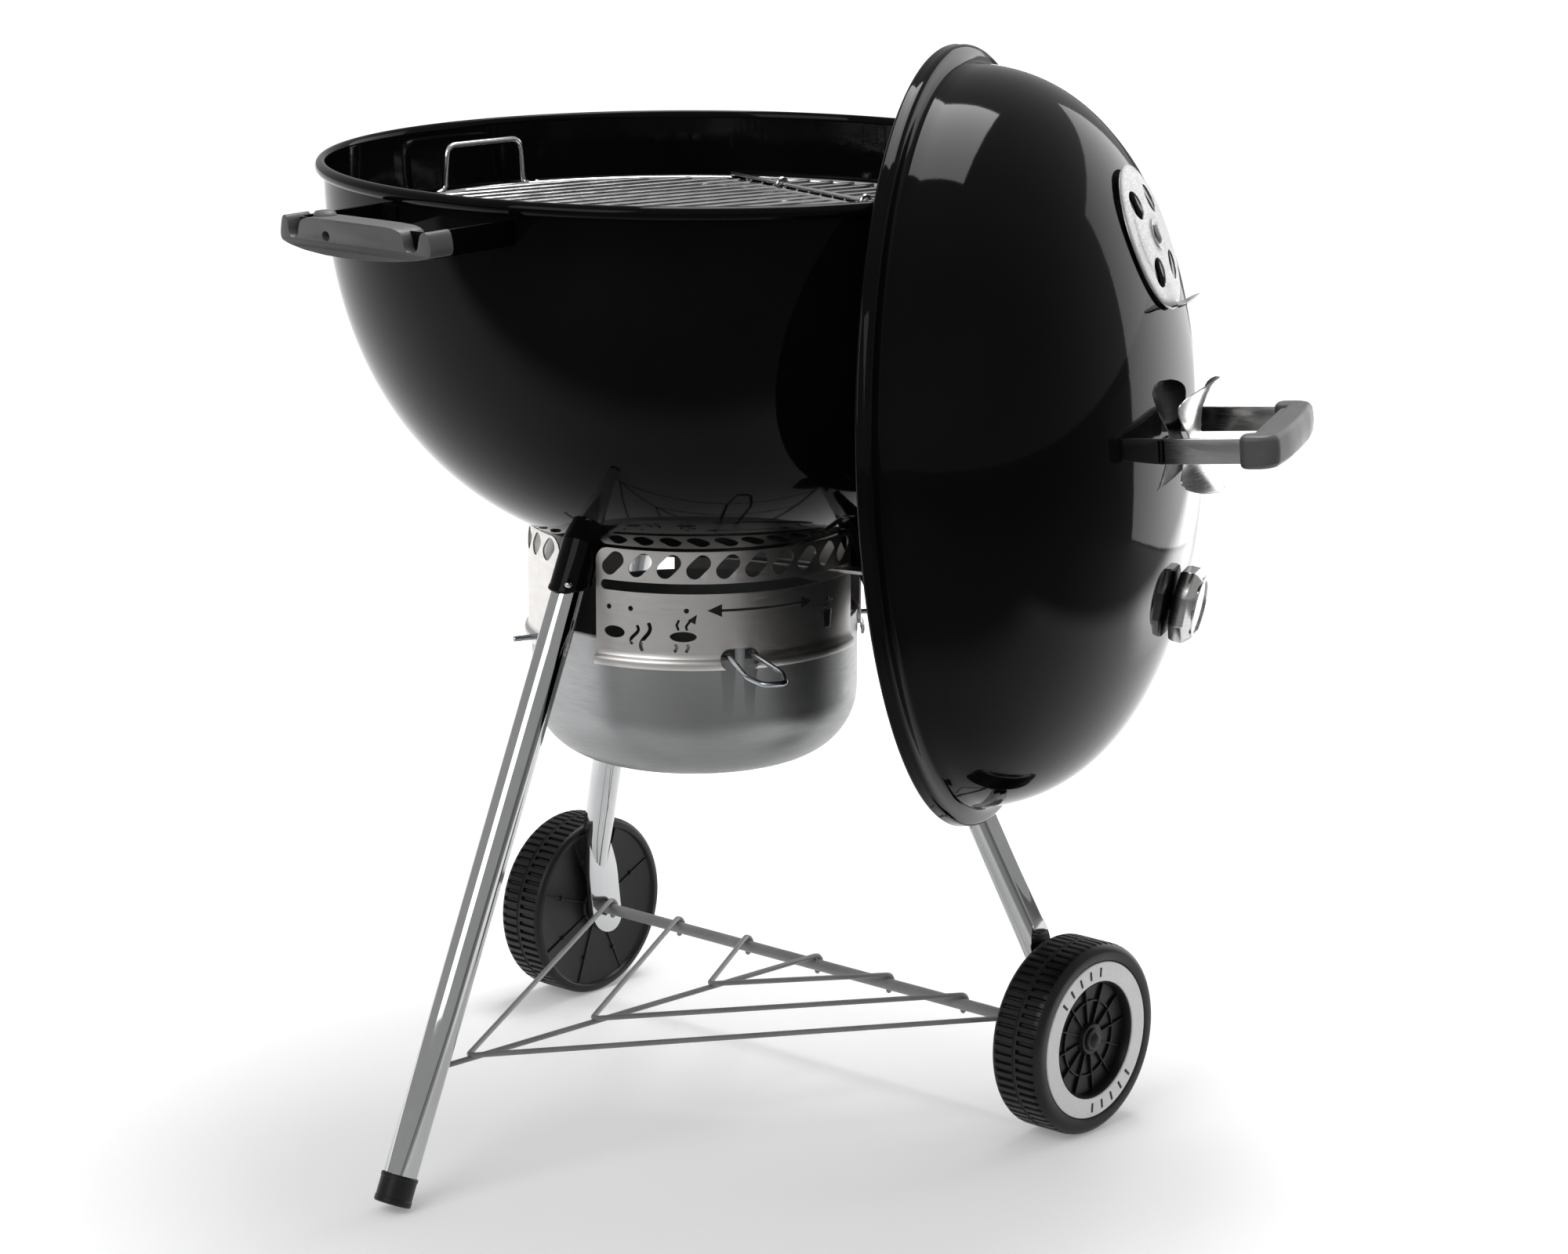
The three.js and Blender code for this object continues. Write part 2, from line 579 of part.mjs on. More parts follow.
// The slot inside a moulded grip that the strap's bend sits in, with clearance all round.
function strapPocket(half, low, high) {
  const [x, y] = [half + GAP, high + GAP];
  const outside = slab([[-x, low], [x, low], [x, y], [-x, y]], -STRAP_WIDE / 2 - GAP, STRAP_WIDE / 2 + GAP);
  const [u, v] = [half - STRAP_THICK - GAP, high - STRAP_THICK - GAP];
  const core = slab([[-u, low], [u, low], [u, v], [-u, v]], -STRAP_WIDE, STRAP_WIDE);
  return cut(outside, core);
}

for (const [side, azimuth] of Object.entries(HANDLE_AZIMUTHS)) {
  const frame = new THREE.Matrix4().makeBasis(polar(azimuth + 90, 1), polar(azimuth, 1), Z_AXIS);
  frame.setPosition(0, 0, HANDLE_Z);
  const strapInner = Math.sqrt(BOWL_R ** 2 - STRAP_HALF ** 2) - 12;
  const plan = strapPlan(STRAP_HALF, strapInner, STRAP_OUTER, STRAP_FOOT);
  const strap = slab(plan, -STRAP_WIDE / 2, STRAP_WIDE / 2);
  add(`${side}_handle_strap`, cut(strap.applyMatrix4(frame), bowlSpace), 'enamel');
  const grip = slab(gripPlan(HANDLE_HALF, GRIP_INNER, GRIP_OUTER, 8), -GRIP_THICK / 2, GRIP_THICK / 2);
  const notches = [-1, 1].map((end) => (
    box(9, 34, 18, new THREE.Vector3(end * (HANDLE_HALF - 11), GRIP_OUTER - 2, GRIP_THICK / 2 - 1))));
  const pocket = strapPocket(STRAP_HALF, GRIP_INNER - 36, STRAP_OUTER);
  add(`${side}_handle_grip`, cut(grip, pocket, ...notches).applyMatrix4(frame), 'nylon');
}

// ---------------------------------------------------------------- lid

// The lid's own frame: origin at its rim's centre, +Z out to the dome's middle, +Y up.
const lidOut = polar(LID_AZIMUTH, Math.cos(rad(LID_TILT)), Math.sin(rad(LID_TILT)));
const lidUp = polar(LID_AZIMUTH, -Math.sin(rad(LID_TILT)), Math.cos(rad(LID_TILT)));
const lidSide = new THREE.Vector3().crossVectors(lidUp, lidOut);
const lidFrame = new THREE.Matrix4().makeBasis(lidSide, lidUp, lidOut)
  .setPosition(polar(LID_AZIMUTH, LID_RHO, LID_Z));
const lid = new THREE.Group();
lid.applyMatrix4(lidFrame);
grill.add(lid);

function domeRadius(h, offset = 0) {
  const fraction = Math.min(h / (DOME_DEPTH + offset), 1);
  return (DOME_R + offset) * (1 - fraction ** DOME_POWER) ** (1 / DOME_POWER);
}

function domeHeight(r, offset = 0) {
  return (DOME_DEPTH + offset) * (1 - (r / (DOME_R + offset)) ** DOME_POWER) ** (1 / DOME_POWER);
}

function domeWall(from, offset, count = 7) {
  const points = [];
  for (let i = 0; i <= count; i += 1) {
    const h = from + (DOME_DEPTH + offset - from) * Math.sin((i / count) * (Math.PI / 2));
    points.push([i === count ? 0 : domeRadius(h, offset), h]);
  }
  return points;
}

const SKIRT = LID_R - 2.6;      // inside of the lid's rim, which drops over the bowl's rolled rim
const lidOuter = [[SKIRT, 0.8], [LID_R - 1, 0], [LID_R, 2], [LID_R, BEAD - 3], [LID_R - 3, BEAD],
  [DOME_R + 2.5, BEAD + 2.5], ...domeWall(BEAD + 7, 0)];
const lidInner = [...domeWall(BEAD + 5, -SHEET).reverse(), [DOME_R + 1.2, BEAD + 1], [SKIRT, BEAD - 2]];
const lidShell = turned([...lidOuter, ...lidInner, [SKIRT, 0.8]]);

const VENT_Y = 149;             // the lid vent's middle, up from the dome's middle
const VENT_HOLES = [[-21, -26], [21, -26], [-21, 26], [21, 26]];
const THERMOMETER_Y = -127;

// Places a piece made along +Z on the dome at a height y, square to its surface.
function onDome(geometry, y, lift = 0) {
  const step = 0.5;
  const fall = (domeHeight(Math.abs(y) + step) - domeHeight(Math.abs(y) - step)) / (2 * step);
  const normal = new THREE.Vector3(0, -Math.sign(y) * fall, 1).normalize();
  const place = new THREE.Vector3(0, y, domeHeight(Math.abs(y))).addScaledVector(normal, lift);
  const x = new THREE.Vector3(1, 0, 0);
  const frame = new THREE.Matrix4().makeBasis(x, new THREE.Vector3().crossVectors(normal, x), normal);
  return geometry.clone().applyMatrix4(frame.setPosition(place));
}

const ventHoles = VENT_HOLES.map(([x, y]) => onDome(rod(10.5, -25, 15, 12).translate(x, y, 0), VENT_Y));
const stemHole = onDome(rod(5.2, -20, 10, 12), THERMOMETER_Y);
const rivetHole = onDome(rod(3.2, -20, 10, 10), VENT_Y);
add('lid', cut(lidShell, ...ventHoles, stemHole, rivetHole), 'enamel', lid);

// A turning vent plate, dished to the dome, with four holes and a T-shaped tab below.
const PLATE_R = 56;
const dish = (r) => -r * r * 0.00125;
const rings = [0, 28, PLATE_R];
const plateUnder = rings.map((r) => [r, dish(r) + 3.4]);
const plateOver = rings.map((r) => [r, dish(r) + 4.8]).reverse();
const plateOutline = [...plateUnder, ...plateOver];
const tabShelf = slab([[-9, 0], [9, 0], [9, 9], [30, 13], [30, 22], [-30, 22], [-30, 13], [-9, 9]], -0.8, 0.8)
  .rotateX(Math.PI / 2).translate(0, -PLATE_R + 2, -1);
const plateHoles = VENT_HOLES.map(([x, y]) => rod(11.3, -20, 20, 12).translate(x, y, 0));
const pivotHole = rod(3.2, -10, 12, 12);
const vent = cut(join(turned(plateOutline, 24), tabShelf), ...plateHoles, pivotHole);
add('lid_damper', onDome(vent, VENT_Y), 'aluminium', lid);
const rivet = turned([[0, -4], [2.8, -4], [2.8, 5.2], [6.5, 5.2], [5.5, 7.4], [0, 8.2]], 16);
add('lid_damper_rivet', onDome(rivet, VENT_Y), 'aluminium', lid);

// Thermometer: a bezel with eight flats, its dial and its probe.
const bezelSides = 8;
const bezel = turned([[0, 1.6], [24, 1.6], [29.5, 4.5], [29.5, 12.5], [24.5, 19.6], [23, 19.6], [23, 14.6], [0, 14.6]],
  bezelSides);
add('thermometer_bezel', onDome(bezel, THERMOMETER_Y), 'chrome', lid);
add('thermometer_dial', onDome(rod(20.5, 14.9, 16.2, 24), THERMOMETER_Y), 'dial', lid);
add('thermometer_probe', onDome(rod(4, -62, 1.2, 12), THERMOMETER_Y), 'brushed', lid);

// Handle: a flat steel strap bent into a U, a moulded grip, and a flared heat shield behind it.
const LID_STRAP_HALF = 68;
const LID_STRAP_LOW = 160;
const LID_STRAP_HIGH = 246;
const LID_GRIP_HALF = 77;
const LID_GRIP_LOW = 226;
const LID_GRIP_HIGH = 262;
const LID_GRIP_THICK = 28;
const upright = new THREE.Matrix4().makeBasis(new THREE.Vector3(1, 0, 0), new THREE.Vector3(0, 0, 1),
  new THREE.Vector3(0, -1, 0));
const domeSpace = turned([[0, 0], ...domeWall(0.1, GAP)]);
const lidStrapPlan = strapPlan(LID_STRAP_HALF, LID_STRAP_LOW, LID_STRAP_HIGH, STRAP_FOOT);
const lidStrap = slab(lidStrapPlan, -STRAP_WIDE / 2, STRAP_WIDE / 2).applyMatrix4(upright);
add('lid_handle_strap', cut(lidStrap, domeSpace), 'brushed', lid);
const lidGripPlan = gripPlan(LID_GRIP_HALF, LID_GRIP_LOW, LID_GRIP_HIGH, 10);
const lidGripSlab = slab(lidGripPlan, -LID_GRIP_THICK / 2, LID_GRIP_THICK / 2);
const lidGrip = cut(lidGripSlab, strapPocket(LID_STRAP_HALF, LID_GRIP_LOW - 26, LID_STRAP_HIGH));
add('lid_handle_grip', lidGrip.applyMatrix4(upright), 'nylon', lid);

const SHIELD_HALF_WIDTH = 46;
const SHIELD_HALF = 52;
const SHIELD_LOW = DOME_DEPTH + 3.8;
const SHIELD_FLARE = 20;
const shieldSteps = 8;
const shieldOutline = [];
for (let i = 0; i <= shieldSteps; i += 1) {
  const y = -SHIELD_HALF + (2 * SHIELD_HALF * i) / shieldSteps;
  shieldOutline.push([y, SHIELD_LOW + SHIELD_FLARE * (y / SHIELD_HALF) ** 2]);
}
const shieldBack = shieldOutline.map(([y, h]) => [y, h + 1.2]).reverse();
const shieldTurn = new THREE.Matrix4().makeBasis(new THREE.Vector3(0, 1, 0), new THREE.Vector3(0, 0, 1),
  new THREE.Vector3(1, 0, 0));
const shield = slab([...shieldOutline, ...shieldBack], -SHIELD_HALF_WIDTH, SHIELD_HALF_WIDTH);
add('lid_heat_shield', shield.applyMatrix4(shieldTurn), 'brushed', lid);

// The hook that hangs the lid on the bowl's rim: a strap welded inside the dome.
const hookY = (RIM_Z + 4.2 - LID_Z) / Math.cos(rad(LID_TILT));
const hookReach = RIM_R - LID_RHO;
const hook = [[hookY + 10, hookReach + 60], [hookY, hookReach + 60], [hookY, hookReach - 14],
  [hookY - 16, hookReach - 17], [hookY - 16, hookReach - 20], [hookY + 3, hookReach - 17],
  [hookY + 3, hookReach + 57], [hookY + 10, hookReach + 57]];
const domeHollow = turned([[0, 0], ...domeWall(0.1, -SHEET - GAP)]);
add('lid_hook', common(slab(hook, -13, 13).applyMatrix4(shieldTurn), domeHollow), 'enamel', lid);

// ---------------------------------------------------------------- cooking grate and charcoal grate

// The grates' own frame: +X along the rods, origin on the bowl's axis.
const grates = new THREE.Group();
grates.rotation.z = rad(GRATE_AZIMUTH - 90);
grill.add(grates);
const KNUCKLES = [-7.5, 0.5, 7.5].map((row) => row * ROD_PITCH);   // between two rods
const chord = (radius, y) => Math.sqrt(radius ** 2 - y ** 2);

// A round grate between two chords, as an outline in the rods' plane.
function gratePlan(radius, low, high, steps) {
  const points = [];
  const start = Math.acos(Math.min(high / radius, 1));
  const end = Math.acos(Math.max(low / radius, -1));
  for (let i = 0; i <= steps; i += 1) {
    const a = start + ((end - start) * i) / steps;
    points.push([radius * Math.cos(a), radius * Math.sin(a)]);
  }
  const below = points.map(([x, y]) => [x, -y]).reverse();
  const meets = (p, q) => Math.hypot(p[0] - q[0], p[1] - q[1]) < 1e-6;
  return [...points, ...below].filter((p, i, all) => !meets(p, all[(i + 1) % all.length]));
}

// The gaps between parallel rods, left open inside the grate's rim.
function rodGaps(radius, low, high, pitch, width) {
  const gaps = [];
  const rows = Math.floor(radius / pitch);
  for (let i = -rows; i < rows; i += 1) {
    const [near, far] = [i * pitch + width / 2, (i + 1) * pitch - width / 2];
    const reach = chord(radius, Math.max(Math.abs(near), Math.abs(far)));
    const [left, right] = [Math.max(low, -reach), Math.min(high, reach)];
    if (right - left > 3 * width) {
      gaps.push(new THREE.Path([[left, near], [left, far], [right, far], [right, near]]
        .map(([x, y]) => new THREE.Vector2(x, y))));
    }
  }
  return gaps;
}

function grateSlab(radius, low, high, z, pitch, width, steps) {
  const gaps = rodGaps(radius - width, low + width, high - width, pitch, width);
  return slab(gratePlan(radius, low, high, steps), z - width / 2, z + width / 2, gaps);
}

const bar = (from, to, radius) => sweep([new THREE.Vector3(...from), new THREE.Vector3(...to)], radius, 6);
const ROD = 2 * ROD_R;
const GRATE_EDGE = GRATE_R + ROD_R;
const middle = grateSlab(GRATE_EDGE, -HINGE_OUT, HINGE_OUT, GRATE_Z, ROD_PITCH, ROD, 8);
const middlePieces = [];
for (const side of [-1, 1]) {
  const y = chord(GRATE_R, HINGE_OUT);
  middlePieces.push(bar([side * HINGE_OUT, -y, HINGE_Z], [side * HINGE_OUT, y, HINGE_Z], 2.5));
}

// Two U-shaped lifting handles stand on the rim, front and back.
const LIFT_AZIMUTHS = [-156.5, 23.5];
for (const azimuth of LIFT_AZIMUTHS) {
  const local = azimuth - GRATE_AZIMUTH + 90;
  const foot = (t, z) => polar(local, GRATE_R - 3.5, z).add(polar(local + 90, t));
  const corners = [foot(-42, GRATE_Z - 1), foot(-38, GRATE_Z + 38), foot(38, GRATE_Z + 38),
    foot(42, GRATE_Z - 1)];
  middlePieces.push(wire(corners, 2.4, 9, 6));
}
// The grate's end bar is cut away where a flap's curls wrap the hinge bar.
const curlRoom = [];
for (const side of [-1, 1]) {
  for (const k of KNUCKLES) {
    curlRoom.push(box(14, 9, 12, new THREE.Vector3(side * HINGE_OUT, k, GRATE_Z - 1)));
  }
}
add('cooking_grate', join(cut(middle, ...curlRoom), ...middlePieces), 'plated', grates);

// Each flap lifts on its hinge bar so that charcoal can be added.
for (const [name, side] of [['left_grate_flap', -1], ['right_grate_flap', 1]]) {
  const inner = HINGE_OUT + 7;
  const flap = grateSlab(GRATE_EDGE, inner, GRATE_EDGE, GRATE_Z, ROD_PITCH, ROD, 8);
  if (side < 0) flap.rotateZ(Math.PI);
  const pieces = [flap];
  for (const k of KNUCKLES) {
    const curl = ring(2.5 + GAP, 5, -3, 3, 10).rotateX(Math.PI / 2).translate(side * HINGE_OUT, k, HINGE_Z);
    const arm = box(10, 6, 3.4, new THREE.Vector3(side * (HINGE_OUT + 8.6), k, GRATE_Z + 3));
    pieces.push(curl, arm);
  }
  add(name, join(...pieces), 'plated', grates);
}

const coals = grateSlab(COALS_R + 3, -COALS_R - 3, COALS_R + 3, COALS_Z, 24, 6.4, 18);
add('charcoal_grate', coals, 'plated', grates);

// Brackets on the bowl's wall carry both grates.
const COALS_SHELF = COALS_Z - 4 - GAP;
const GRATE_SHELF = GRATE_Z - ROD_R - GAP;
const BRACKET_WEB = 7;
const bracketEdge = (offset, low, high, count) => {
  const points = [];
  for (let i = 0; i <= count; i += 1) {
    const z = low + ((high - low) * i) / count;
    points.push([bowlRadius(RIM_Z - z, -SHEET - GAP) - offset, z]);
  }
  return points;
};
const bracketPlan = [...bracketEdge(-4, COALS_SHELF - 12, GRATE_SHELF + 6, 8),
  [GRATE_R + 4, GRATE_SHELF + 6], [GRATE_R + 4, GRATE_SHELF], [GRATE_R - 11, GRATE_SHELF],
  [GRATE_R - 9, GRATE_SHELF - 3], ...bracketEdge(BRACKET_WEB, COALS_SHELF + 6, GRATE_SHELF - 12, 7).reverse(),
  [COALS_R + 4.5, COALS_SHELF], [COALS_R - 8, COALS_SHELF], [COALS_R - 8, COALS_SHELF - 3]];
const BRACKETS = [11.25, 101.25, 191.25, 281.25];
BRACKETS.forEach((azimuth, i) => {
  const flat = slab(bracketPlan, -1.2, 1.2);
  const frame = new THREE.Matrix4().makeBasis(polar(azimuth, 1), Z_AXIS, polar(azimuth - 90, 1));
  add(`grate_bracket_${i + 1}`, common(flat.applyMatrix4(frame), bowlHollow), 'plated');
});

export default grill;
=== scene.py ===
"""Kettle charcoal grill with its lid hung on the bowl: the looks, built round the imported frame.

Shapes are drawn in millimetres and every Blender object is in metres, in the frame's own axes.
Azimuths are measured about the bowl's axis from the front (-Y) towards +X.
"""
import json
import math

import bmesh
import bpy
from mathutils import Matrix, Vector


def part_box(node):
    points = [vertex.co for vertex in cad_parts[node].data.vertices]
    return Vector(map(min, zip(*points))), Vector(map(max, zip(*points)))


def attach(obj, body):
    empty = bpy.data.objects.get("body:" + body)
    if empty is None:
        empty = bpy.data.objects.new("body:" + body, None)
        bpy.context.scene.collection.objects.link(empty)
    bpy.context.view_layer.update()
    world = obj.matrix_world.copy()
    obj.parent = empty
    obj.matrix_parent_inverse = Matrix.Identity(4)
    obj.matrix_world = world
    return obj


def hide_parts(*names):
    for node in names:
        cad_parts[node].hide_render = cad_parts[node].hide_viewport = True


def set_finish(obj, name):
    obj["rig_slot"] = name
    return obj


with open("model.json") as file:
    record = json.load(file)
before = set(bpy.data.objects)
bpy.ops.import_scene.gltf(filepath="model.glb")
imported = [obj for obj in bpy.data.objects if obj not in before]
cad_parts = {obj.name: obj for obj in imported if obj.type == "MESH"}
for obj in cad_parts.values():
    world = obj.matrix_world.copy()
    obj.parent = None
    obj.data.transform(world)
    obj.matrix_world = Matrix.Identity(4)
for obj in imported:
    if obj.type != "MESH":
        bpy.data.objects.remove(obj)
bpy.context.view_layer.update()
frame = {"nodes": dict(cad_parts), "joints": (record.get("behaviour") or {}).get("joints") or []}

MM = 0.001
JOINTS = {joint["name"]: joint for joint in frame["joints"]}
UP = Vector((0, 0, 1))
QUARTER = math.pi / 2

# ---------------------------------------------------------------- driving dimensions

bowl_low, bowl_high = (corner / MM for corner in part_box("bowl"))
KETTLE = Matrix.Translation(((bowl_low.x + bowl_high.x) / 2, (bowl_low.y + bowl_high.y) / 2, 0))
RIM_Z = bowl_high.z
RIM_R = (bowl_high.x - bowl_low.x) / 2
BOWL_R = RIM_R - 6.5
BOWL_DEPTH = RIM_Z - bowl_low.z
BOWL_POWER = 2.25
SHEET = 1.6
VENTS = [-12, 108, 228]
HANDLE_Z = 731

LID_TILT = 3.9
DOME_R = 280
DOME_DEPTH = 169.3
DOME_POWER = 2.3
LID_R = 294
DAMPER_Y = 149
DAMPER_R = 56
DAMPER_HOLES = [(-21, -26), (21, -26), (-21, 26), (21, 26)]
THERMOMETER_Y = -127

LEG_R = 12.7
LEG_TOP_R = 140
LEG_TOP_Z = 441
LEG_SPREAD = 0.447
LEGS = {"foot_leg": -60, "right_wheel_leg": 60, "rear_wheel_leg": 180}
SNAP_Z = 447

WHEEL_R = 76.2
WHEEL_HALF = 22.5
AXLE_R = 4.75
AXLE_OFFSET = 145.8
AXLE_AZIMUTH = 120
PLATE_OUT = 237
PLATE_BOTTOM = 54
PLATE_TOP = 150
RACK_R = 2.1
RACK_FRONT_Z = 99

GUARD_R = 129
GUARD_TOP = 474
GUARD_CENTRE = -1.6
GUARD_HALF = 51.2
LEVER_Z = 445.6
LEVER_AZIMUTH = 44
BUCKET_R = 126.3
BUCKET_TOP = 404
BUCKET_BOTTOM = 290
BUCKET_CORNER = 52
CATCH_Z = 394

GRATE_Z = 701
GRATE_R = 259
GRATE_TURN = 15
ROD_PITCH = 16.8
HINGE_OUT = 165
HINGE_Z = 705.2
ROD_WIRE = 2.1
EDGE_WIRE = 1.8
RIM_WIRE = 2.9
COALS_WIRE = 3.1
COALS_Z = 560
COALS_R = 212


# ---------------------------------------------------------------- shapes: points and faces in mm

def polar(azimuth, radius, height=0.0):
    turn = math.radians(azimuth)
    return Vector((radius * math.sin(turn), -radius * math.cos(turn), height))


def basis(x, y, z, place=(0, 0, 0)):
    """The matrix that takes a shape's own axes to x, y and z, and its origin to place."""
    turn = Matrix((x, y, z)).transposed().to_4x4()
    return Matrix.Translation(place) @ turn


def along(place, direction):
    """The matrix that stands a shape made along +Z on a place, pointing in a direction."""
    z = Vector(direction).normalized()
    x = (UP if abs(z.z) < 0.9 else Vector((1, 0, 0))).cross(z).normalized()
    return basis(x, z.cross(x), z, place)


def bent(shape, move):
    points, faces = shape
    return [move(p) for p in points], faces


def placed(shape, matrix):
    return bent(shape, lambda p: matrix @ p)


def joined(*shapes):
    points, faces = [], []
    for some, several in shapes:
        faces += [[i + len(points) for i in face] for face in several]
        points += some
    return points, faces


def lofted(loops, closed=False):
    """A solid through closed loops with equal counts of points, capped unless it closes on itself."""
    count = len(loops[0])
    points = [Vector(p) for loop in loops for p in loop]
    faces = []
    pairs = len(loops) if closed else len(loops) - 1
    for k in range(pairs):
        a, b = k * count, ((k + 1) % len(loops)) * count
        for i in range(count):
            j = (i + 1) % count
            faces.append([a + i, a + j, b + j, b + i])
    if not closed:
        faces.append(list(range(count)))
        faces.append(list(range(len(points) - count, len(points))))
    return points, faces


def turned(outline, segments=96, phase=0.0):
    """A solid of revolution about +Z from (radius, height) points, closed or ended on the axis."""
    points, faces, rows = [], [], []
    for radius, height in outline:
        if radius < 1e-6:
            rows.append([len(points)] * segments)
            points.append(Vector((0, 0, height)))
            continue
        rows.append(list(range(len(points), len(points) + segments)))
        for i in range(segments):
            turn = 2 * math.pi * (i + phase) / segments
            points.append(Vector((radius * math.cos(turn), radius * math.sin(turn), height)))
    following = rows[1:] if outline[0][0] < 1e-6 else rows[1:] + rows[:1]
    for below, above in zip(rows, following):
        for i in range(segments):
            j = (i + 1) % segments
            face = list(dict.fromkeys([below[i], below[j], above[j], above[i]]))
            if len(face) > 2:
                faces.append(face)
    return points, faces


def extruded(outline, low, high):
    """A flat outline of (x, y) points, thickened along z."""
    return lofted([[(x, y, z) for x, y in outline] for z in (low, high)])


def skin(top, bottom):
    """A closed sheet between two equal grids of points."""
    rows, columns = len(top), len(top[0])
    edge = [(0, j) for j in range(columns)] + [(i, columns - 1) for i in range(1, rows)]
    edge += [(rows - 1, j) for j in range(columns - 2, -1, -1)]
    edge += [(i, 0) for i in range(rows - 2, 0, -1)]
    points = [Vector(p) for grid in (top, bottom) for row in grid for p in row]
    shift = rows * columns
    at = lambda i, j: i * columns + j
    faces = []
    for i in range(rows - 1):
        for j in range(columns - 1):
            face = [at(i, j), at(i, j + 1), at(i + 1, j + 1), at(i + 1, j)]
            faces += [face, [shift + k for k in reversed(face)]]
    for (a, b), (c, d) in zip(edge, edge[1:] + edge[:1]):
        faces.append([at(a, b), at(c, d), shift + at(c, d), shift + at(a, b)])
    return points, faces


def box(size, centre):
    x, y, z = (s / 2 for s in size)
    outline = [(-x, -y), (x, -y), (x, y), (-x, y)]
    return placed(extruded(outline, -z, z), Matrix.Translation(centre))


def rounded(outline, radius, steps=4, closed=True):
    """An outline or path with its corners rounded."""
    points = [Vector(p) for p in outline]
    found = []
    for i, corner in enumerate(points):
        if not closed and i in (0, len(points) - 1):
            found.append(corner)
            continue
        before, after = points[i - 1], points[(i + 1) % len(points)]
        reach = min(radius, (before - corner).length * 0.48, (after - corner).length * 0.48)
        a = corner + (before - corner).normalized() * reach
        b = corner + (after - corner).normalized() * reach
        for k in range(steps + 1):
            t = k / steps
            found.append(a * (1 - t) ** 2 + corner * 2 * t * (1 - t) + b * t ** 2)
    return found


def arc(centre, radius, start, end, steps=8):
    turns = [math.radians(start + (end - start) * i / steps) for i in range(steps + 1)]
    return [(centre[0] + radius * math.cos(t), centre[1] + radius * math.sin(t)) for t in turns]


def chord(radius, y):
    """Half the length of a circle's chord at a distance from its centre."""
    return math.sqrt(max(radius ** 2 - y ** 2, 0))


def oval(share, power):
    """How wide a superellipse is, from 1 to 0, at a share of its height."""
    return (1 - min(share, 1) ** power) ** (1 / power)


def edges_of(path, width):
    """The left and right edges of a flat line of even width."""
    left, right = [], []
    for i, p in enumerate(path):
        ahead = (path[min(i + 1, len(path) - 1)] - path[max(i - 1, 0)]).normalized()
        side = Vector((-ahead.y, ahead.x)) * width / 2
        left.append(p + side)
        right.append(p - side)
    return left, right


def wire(path, radius, sides=12, bend=0.0, closed=False):
    """A round wire along a path, its corners rounded by bend and its ends slightly domed."""
    points = rounded(path, bend, 5, closed) if bend else [Vector(p) for p in path]
    count = len(points)
    loops = []
    side = None
    for i, p in enumerate(points):
        if closed:
            ahead = (points[(i + 1) % count] - points[i - 1]).normalized()
        else:
            ahead = (points[min(i + 1, count - 1)] - points[max(i - 1, 0)]).normalized()
        if side is None:
            side = ahead.orthogonal()
        side = (side - ahead * side.dot(ahead)).normalized()
        up = ahead.cross(side)
        turns = [2 * math.pi * k / sides for k in range(sides)]
        loops.append([p + (side * math.cos(t) + up * math.sin(t)) * radius for t in turns])
    if not closed:
        for end, step in ((0, 1), (-1, -1)):
            centre = points[end]
            away = (centre - points[end + step]).normalized()
            tip = [centre + (q - centre) * 0.6 + away * radius * 0.4 for q in loops[end]]
            loops = [tip] + loops if end == 0 else loops + [tip]
    return lofted(loops, closed)


def sector(inner, outer, azimuth, half, low, high, steps=16):
    """A block of a ring, between two radii and two heights."""
    loops = []
    for i in range(steps + 1):
        turn = azimuth - half + 2 * half * i / steps
        loops.append([polar(turn, r, z) for r, z in
                      ((inner, low), (outer, low), (outer, high), (inner, high))])
    return lofted(loops)


# ---------------------------------------------------------------- pieces

EDGE_ANGLE = 34             # edges sharper than this are bevelled


def mesh_of(name, shape, matrix):
    points, faces = shape
    mesh = bpy.data.meshes.new(name)
    mesh.from_pydata([(matrix @ p) * MM for p in points], [], faces)
    work = bmesh.new()
    work.from_mesh(mesh)
    bmesh.ops.remove_doubles(work, verts=work.verts, dist=1e-6)
    bmesh.ops.recalc_face_normals(work, faces=work.faces)
    work.to_mesh(mesh)
    work.free()
    return mesh


def linked(name, data):
    """A new object in the scene."""
    obj = bpy.data.objects.new(name, data)
    bpy.context.scene.collection.objects.link(obj)
    return obj


def settle(obj):
    """Applies an object's modifiers."""
    shown = obj.evaluated_get(bpy.context.evaluated_depsgraph_get())
    mesh = bpy.data.meshes.new_from_object(shown)
    obj.modifiers.clear()
    obj.data = mesh


def piece(name, shape, look, body, matrix=KETTLE, stands_for=(), cutters=(), bevel=0.0, sharp=32):
    """One visible piece that rides on a CAD body: its cutters are taken out, then its edges eased."""
    obj = linked(name, mesh_of(name, shape, matrix))
    for cutter in cutters:
        tool = linked("tool", mesh_of("tool", cutter, matrix))
        cut = obj.modifiers.new("cut", "BOOLEAN")
        cut.operation = "DIFFERENCE"
        cut.solver = "EXACT"
        cut.object = tool
        settle(obj)
        bpy.data.objects.remove(tool)
    if bevel:
        edges = obj.modifiers.new("edges", "BEVEL")
        edges.width = bevel * MM
        edges.segments = 3
        edges.limit_method = "ANGLE"
        edges.angle_limit = math.radians(EDGE_ANGLE)
        settle(obj)
    obj.data.shade_smooth()
    obj.data.set_sharp_from_angle(angle=math.radians(sharp))
    obj.data.materials.clear()
    obj.data.materials.append(LOOKS[look])
    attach(obj, body)
    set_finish(obj, look)
    if stands_for:
        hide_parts(*([stands_for] if isinstance(stands_for, str) else stands_for))
    return obj


# ---------------------------------------------------------------- materials

